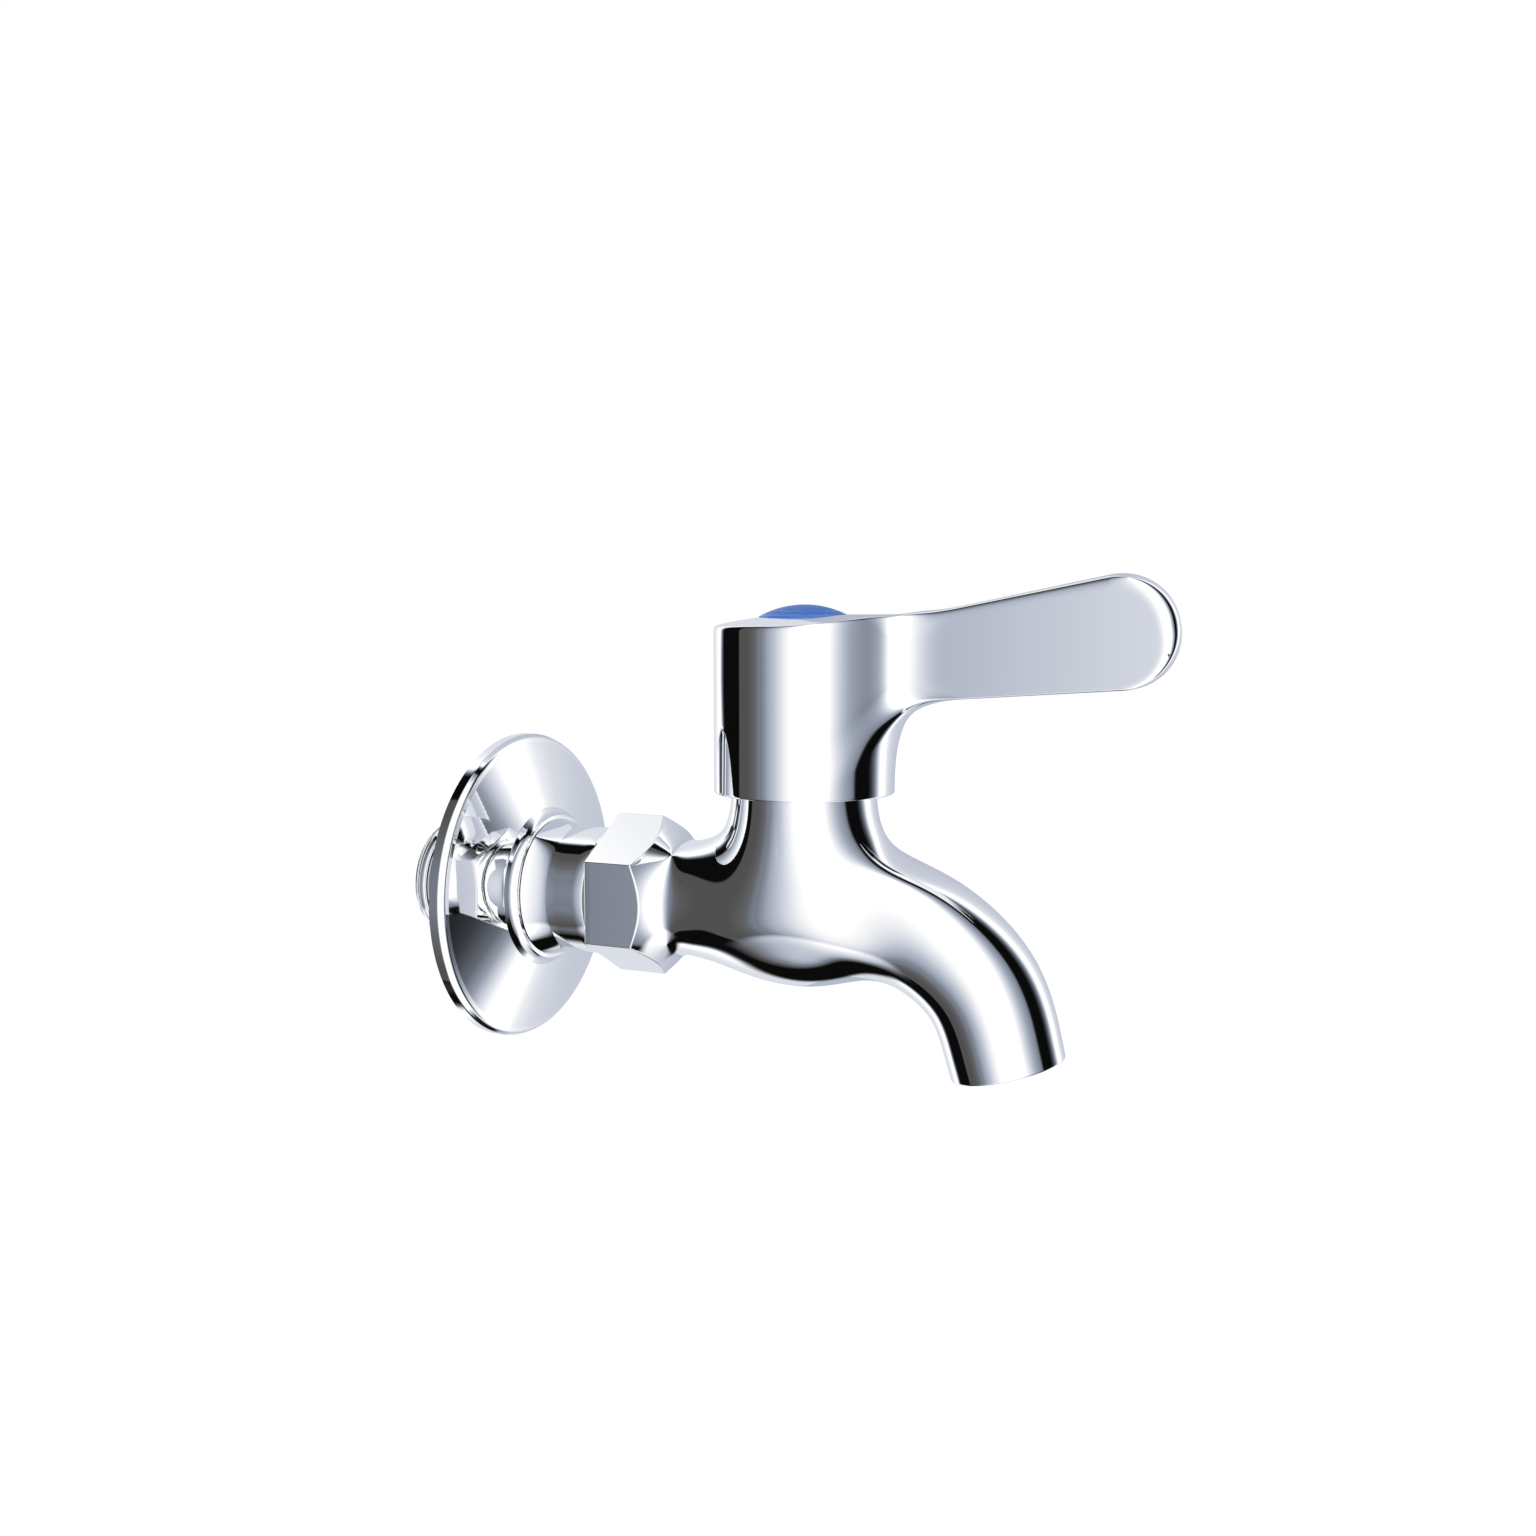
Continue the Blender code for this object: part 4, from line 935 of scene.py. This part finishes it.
def repaint(made):
    """Gives every CAD node that still shows its better material, by the slot the record names for it."""
    slots = {part["node"]: part["material_slot"] for part in frame["record"]["subparts"]}
    for name, node in frame["nodes"].items():
        if node.hide_render:
            continue
        node.data.materials.clear()
        node.data.materials.append(made[slots[name]])


# Camera: the side it looks from, the point it looks at, and how far away it is.
CAMERA_AZIMUTH = math.radians(24.178)
CAMERA_ELEVATION = math.radians(5.680)
CAMERA_TARGET = Vector((0.04672, 0, 0.021799))
CAMERA_DISTANCE = 0.236218

# Studio light as upright soft boxes and dark flags all round:
# (degrees from the camera's side, level, cool or grey). BELOW is what a surface sees near the ground.
WHITE_LEVEL = 1.10
BLACK_LEVEL = 0.0033
COOL, GREY = 1.0, 0.0
LEFT_SIDE = [
    (-180, 0.78, COOL),
    (-158, 0.80, COOL),
    (-147, 0.92, COOL),
    (-140, WHITE_LEVEL, GREY),
    (-133, WHITE_LEVEL, GREY),
    (-130, 0.76, COOL),
    (-127, 0.35, COOL),
    (-124, 0.09, COOL),
    (-121, BLACK_LEVEL, GREY),
    (-91.5, BLACK_LEVEL, GREY),
    (-90, 0.079, GREY),
    (-78, 0.080, GREY),
    (-70, 0.105, GREY),
    (-65, 0.150, 0.7),
    (-59, 0.258, COOL),
    (-57.5, 0.235, COOL),
    (-52, 0.342, COOL),
    (-47, 0.479, COOL),
    (-41, 0.580, COOL),
    (-34, 0.740, COOL),
    (-26, 0.900, COOL),
    (-20, 1.000, GREY),
    (-17, WHITE_LEVEL, GREY),
    (0, WHITE_LEVEL, GREY),
]
RIGHT_SIDE = [
    (0, WHITE_LEVEL, GREY),
    (26, WHITE_LEVEL, GREY),
    (31, 0.940, COOL),
    (36, 0.800, COOL),
    (44, 0.590, COOL),
    (50, 0.450, COOL),
    (60, 0.290, COOL),
    (62.5, 0.200, COOL),
    (65, 0.020, GREY),
    (67, BLACK_LEVEL, GREY),
    (87, BLACK_LEVEL, GREY),
    (92, 0.050, COOL),
    (97, 0.170, COOL),
    (101, 0.400, COOL),
    (105, 0.750, COOL),
    (110, WHITE_LEVEL, GREY),
    (119, WHITE_LEVEL, GREY),
    (124, 0.880, COOL),
    (130, 0.770, COOL),
    (140, 0.690, COOL),
    (160, 0.630, COOL),
    (180, 0.580, COOL),
]
BELOW = [
    (-180, BLACK_LEVEL, GREY),
    (-109, BLACK_LEVEL, GREY),
    (-97, 0.09, GREY),
    (-84, 0.30, COOL),
    (-72, 0.58, COOL),
    (-60, 0.72, COOL),
    (-46, 0.90, COOL),
    (-36, WHITE_LEVEL, GREY),
    (40, WHITE_LEVEL, GREY),
    (145, 0.60, COOL),
    (166, 0.02, COOL),
    (180, BLACK_LEVEL, GREY),
]


def tone(level, cool):
    """A light's colour: the darker a cool one is, the more blue it looks."""
    tint = cool * max(0, min(1, 2 * (1 - level)))
    return (level * (1 - 0.26 * tint), level * (1 - 0.18 * tint), level)


def mixed(nodes, links, factor, first, second):
    """A mix of two colours, each a plain colour or a socket."""
    node = nodes.new("ShaderNodeMix")
    node.data_type = "RGBA"
    links.new(factor, node.inputs["Factor"])
    for socket, colour in ((node.inputs[6], first), (node.inputs[7], second)):
        if isinstance(colour, tuple):
            socket.default_value = colour
        else:
            links.new(colour, socket)
    return node.outputs[2]


def math_node(nodes, links, operation, *values):
    node = nodes.new("ShaderNodeMath")
    node.operation = operation
    for socket, value in zip(node.inputs, values):
        if isinstance(value, (int, float)):
            socket.default_value = value
        else:
            links.new(value, socket)
    return node.outputs[0]


def ramp(nodes, links, value, stops):
    """A colour ramp over values from 0 to 1."""
    node = nodes.new("ShaderNodeValToRGB")
    elements = node.color_ramp.elements
    for element, (position, colour) in zip(elements, (stops[0], stops[-1])):
        element.position = position
        element.color = (*colour, 1)
    for position, colour in stops[1:-1]:
        elements.new(position).color = (*colour, 1)
    links.new(value, node.inputs["Fac"])
    return node.outputs["Color"]


def studio():
    """A white studio with dark flags round it, as the chrome sees it, behind a plain white backdrop."""
    world = bpy.data.worlds.new("studio")
    bpy.context.scene.world = world
    world.use_nodes = True
    nodes, links = world.node_tree.nodes, world.node_tree.links
    background = nodes["Background"]
    direction = nodes.new("ShaderNodeTexCoord").outputs["Generated"]
    split = nodes.new("ShaderNodeSeparateXYZ")
    links.new(direction, split.inputs["Vector"])
    x, y, z = split.outputs
    azimuth = math_node(nodes, links, "ARCTAN2", x, math_node(nodes, links, "MULTIPLY", y, -1.0))
    azimuth = math_node(nodes, links, "SUBTRACT", azimuth, CAMERA_AZIMUTH)
    turn = math_node(nodes, links, "DIVIDE", azimuth, 2 * math.pi)
    turn = math_node(nodes, links, "FRACT", math_node(nodes, links, "ADD", turn, 0.5))
    left = math_node(nodes, links, "MULTIPLY", turn, 2.0)
    right = math_node(nodes, links, "SUBTRACT", left, 1.0)
    left_light = ramp(nodes, links, left, [((a + 180) / 180, tone(b, c)) for a, b, c in LEFT_SIDE])
    right_light = ramp(nodes, links, right, [(a / 180, tone(b, c)) for a, b, c in RIGHT_SIDE])
    on_right = math_node(nodes, links, "GREATER_THAN", turn, 0.5)
    around = mixed(nodes, links, on_right, left_light, right_light)
    floor_light = ramp(nodes, links, turn, [((a + 180) / 360, tone(b, c)) for a, b, c in BELOW])
    steep = nodes.new("ShaderNodeMapRange")
    steep.interpolation_type = "SMOOTHSTEP"
    steep.inputs["From Min"].default_value = -math.sin(math.radians(50))
    steep.inputs["From Max"].default_value = -math.sin(math.radians(60))
    links.new(z, steep.inputs["Value"])
    seen = mixed(nodes, links, steep.outputs["Result"], around, floor_light)
    to_camera = nodes.new("ShaderNodeLightPath").outputs["Is Camera Ray"]
    backdrop = mixed(nodes, links, to_camera, seen, (1, 1, 1, 1))
    links.new(backdrop, background.inputs["Color"])


def floor():
    """A plain pale floor, far enough below the tap to stay clear of it."""
    bm = bmesh.new()
    bmesh.ops.create_grid(bm, x_segments=8, y_segments=8, size=3.0)
    mesh = mesh_of(bm, "floor")
    material, nodes, links, shader = new_material("floor", (0.9, 0.9, 0.9), 0.0, 0.9)
    grain = noise(nodes, links, object_coordinates(nodes, links), 40.0)
    links.new(spread(nodes, links, grain, 0.85, 0.95), shader.inputs["Roughness"])
    shader.inputs["Emission Color"].default_value = (1, 1, 1, 1)
    shader.inputs["Emission Strength"].default_value = 0.55
    mesh.materials.append(material)
    obj = bpy.data.objects.new("floor", mesh)
    bpy.context.scene.collection.objects.link(obj)
    obj.location.z = CAD_BOX[0].z - FLOOR_DROP
    obj.visible_glossy = False


def camera():
    data = bpy.data.cameras.new("camera")
    data.lens = 35
    data.sensor_width = 36
    data.clip_start = 0.01
    obj = bpy.data.objects.new("camera", data)
    bpy.context.scene.collection.objects.link(obj)
    level = math.cos(CAMERA_ELEVATION)
    back = Vector(
        (math.sin(CAMERA_AZIMUTH) * level, -math.cos(CAMERA_AZIMUTH) * level, math.sin(CAMERA_ELEVATION))
    )
    obj.location = CAMERA_TARGET + back * CAMERA_DISTANCE
    obj.rotation_euler = (-back).to_track_quat("-Z", "Y").to_euler()
    bpy.context.scene.camera = obj


made = finishes()
piece("tap_casting", tap_body_mesh(), "tap", "chrome_body", made["chrome_body"], "tap_body")
piece("shank_fine", inlet_shank_mesh(), "tap", "chrome_shank", made["chrome_shank"], "inlet_shank")
piece("flange_fine", wall_flange_mesh(), "flange", "chrome_flange", made["chrome_flange"], "wall_flange")
piece("lever_fine", lever_handle_mesh(), "lever", "chrome_handle", made["chrome_handle"], "lever_handle")
piece("button_fine", index_button_mesh(), "lever", "blue_index", made["blue_index"], "index_button")
repaint(made)
studio()
floor()
camera()
bpy.context.scene.view_settings.view_transform = "Standard"
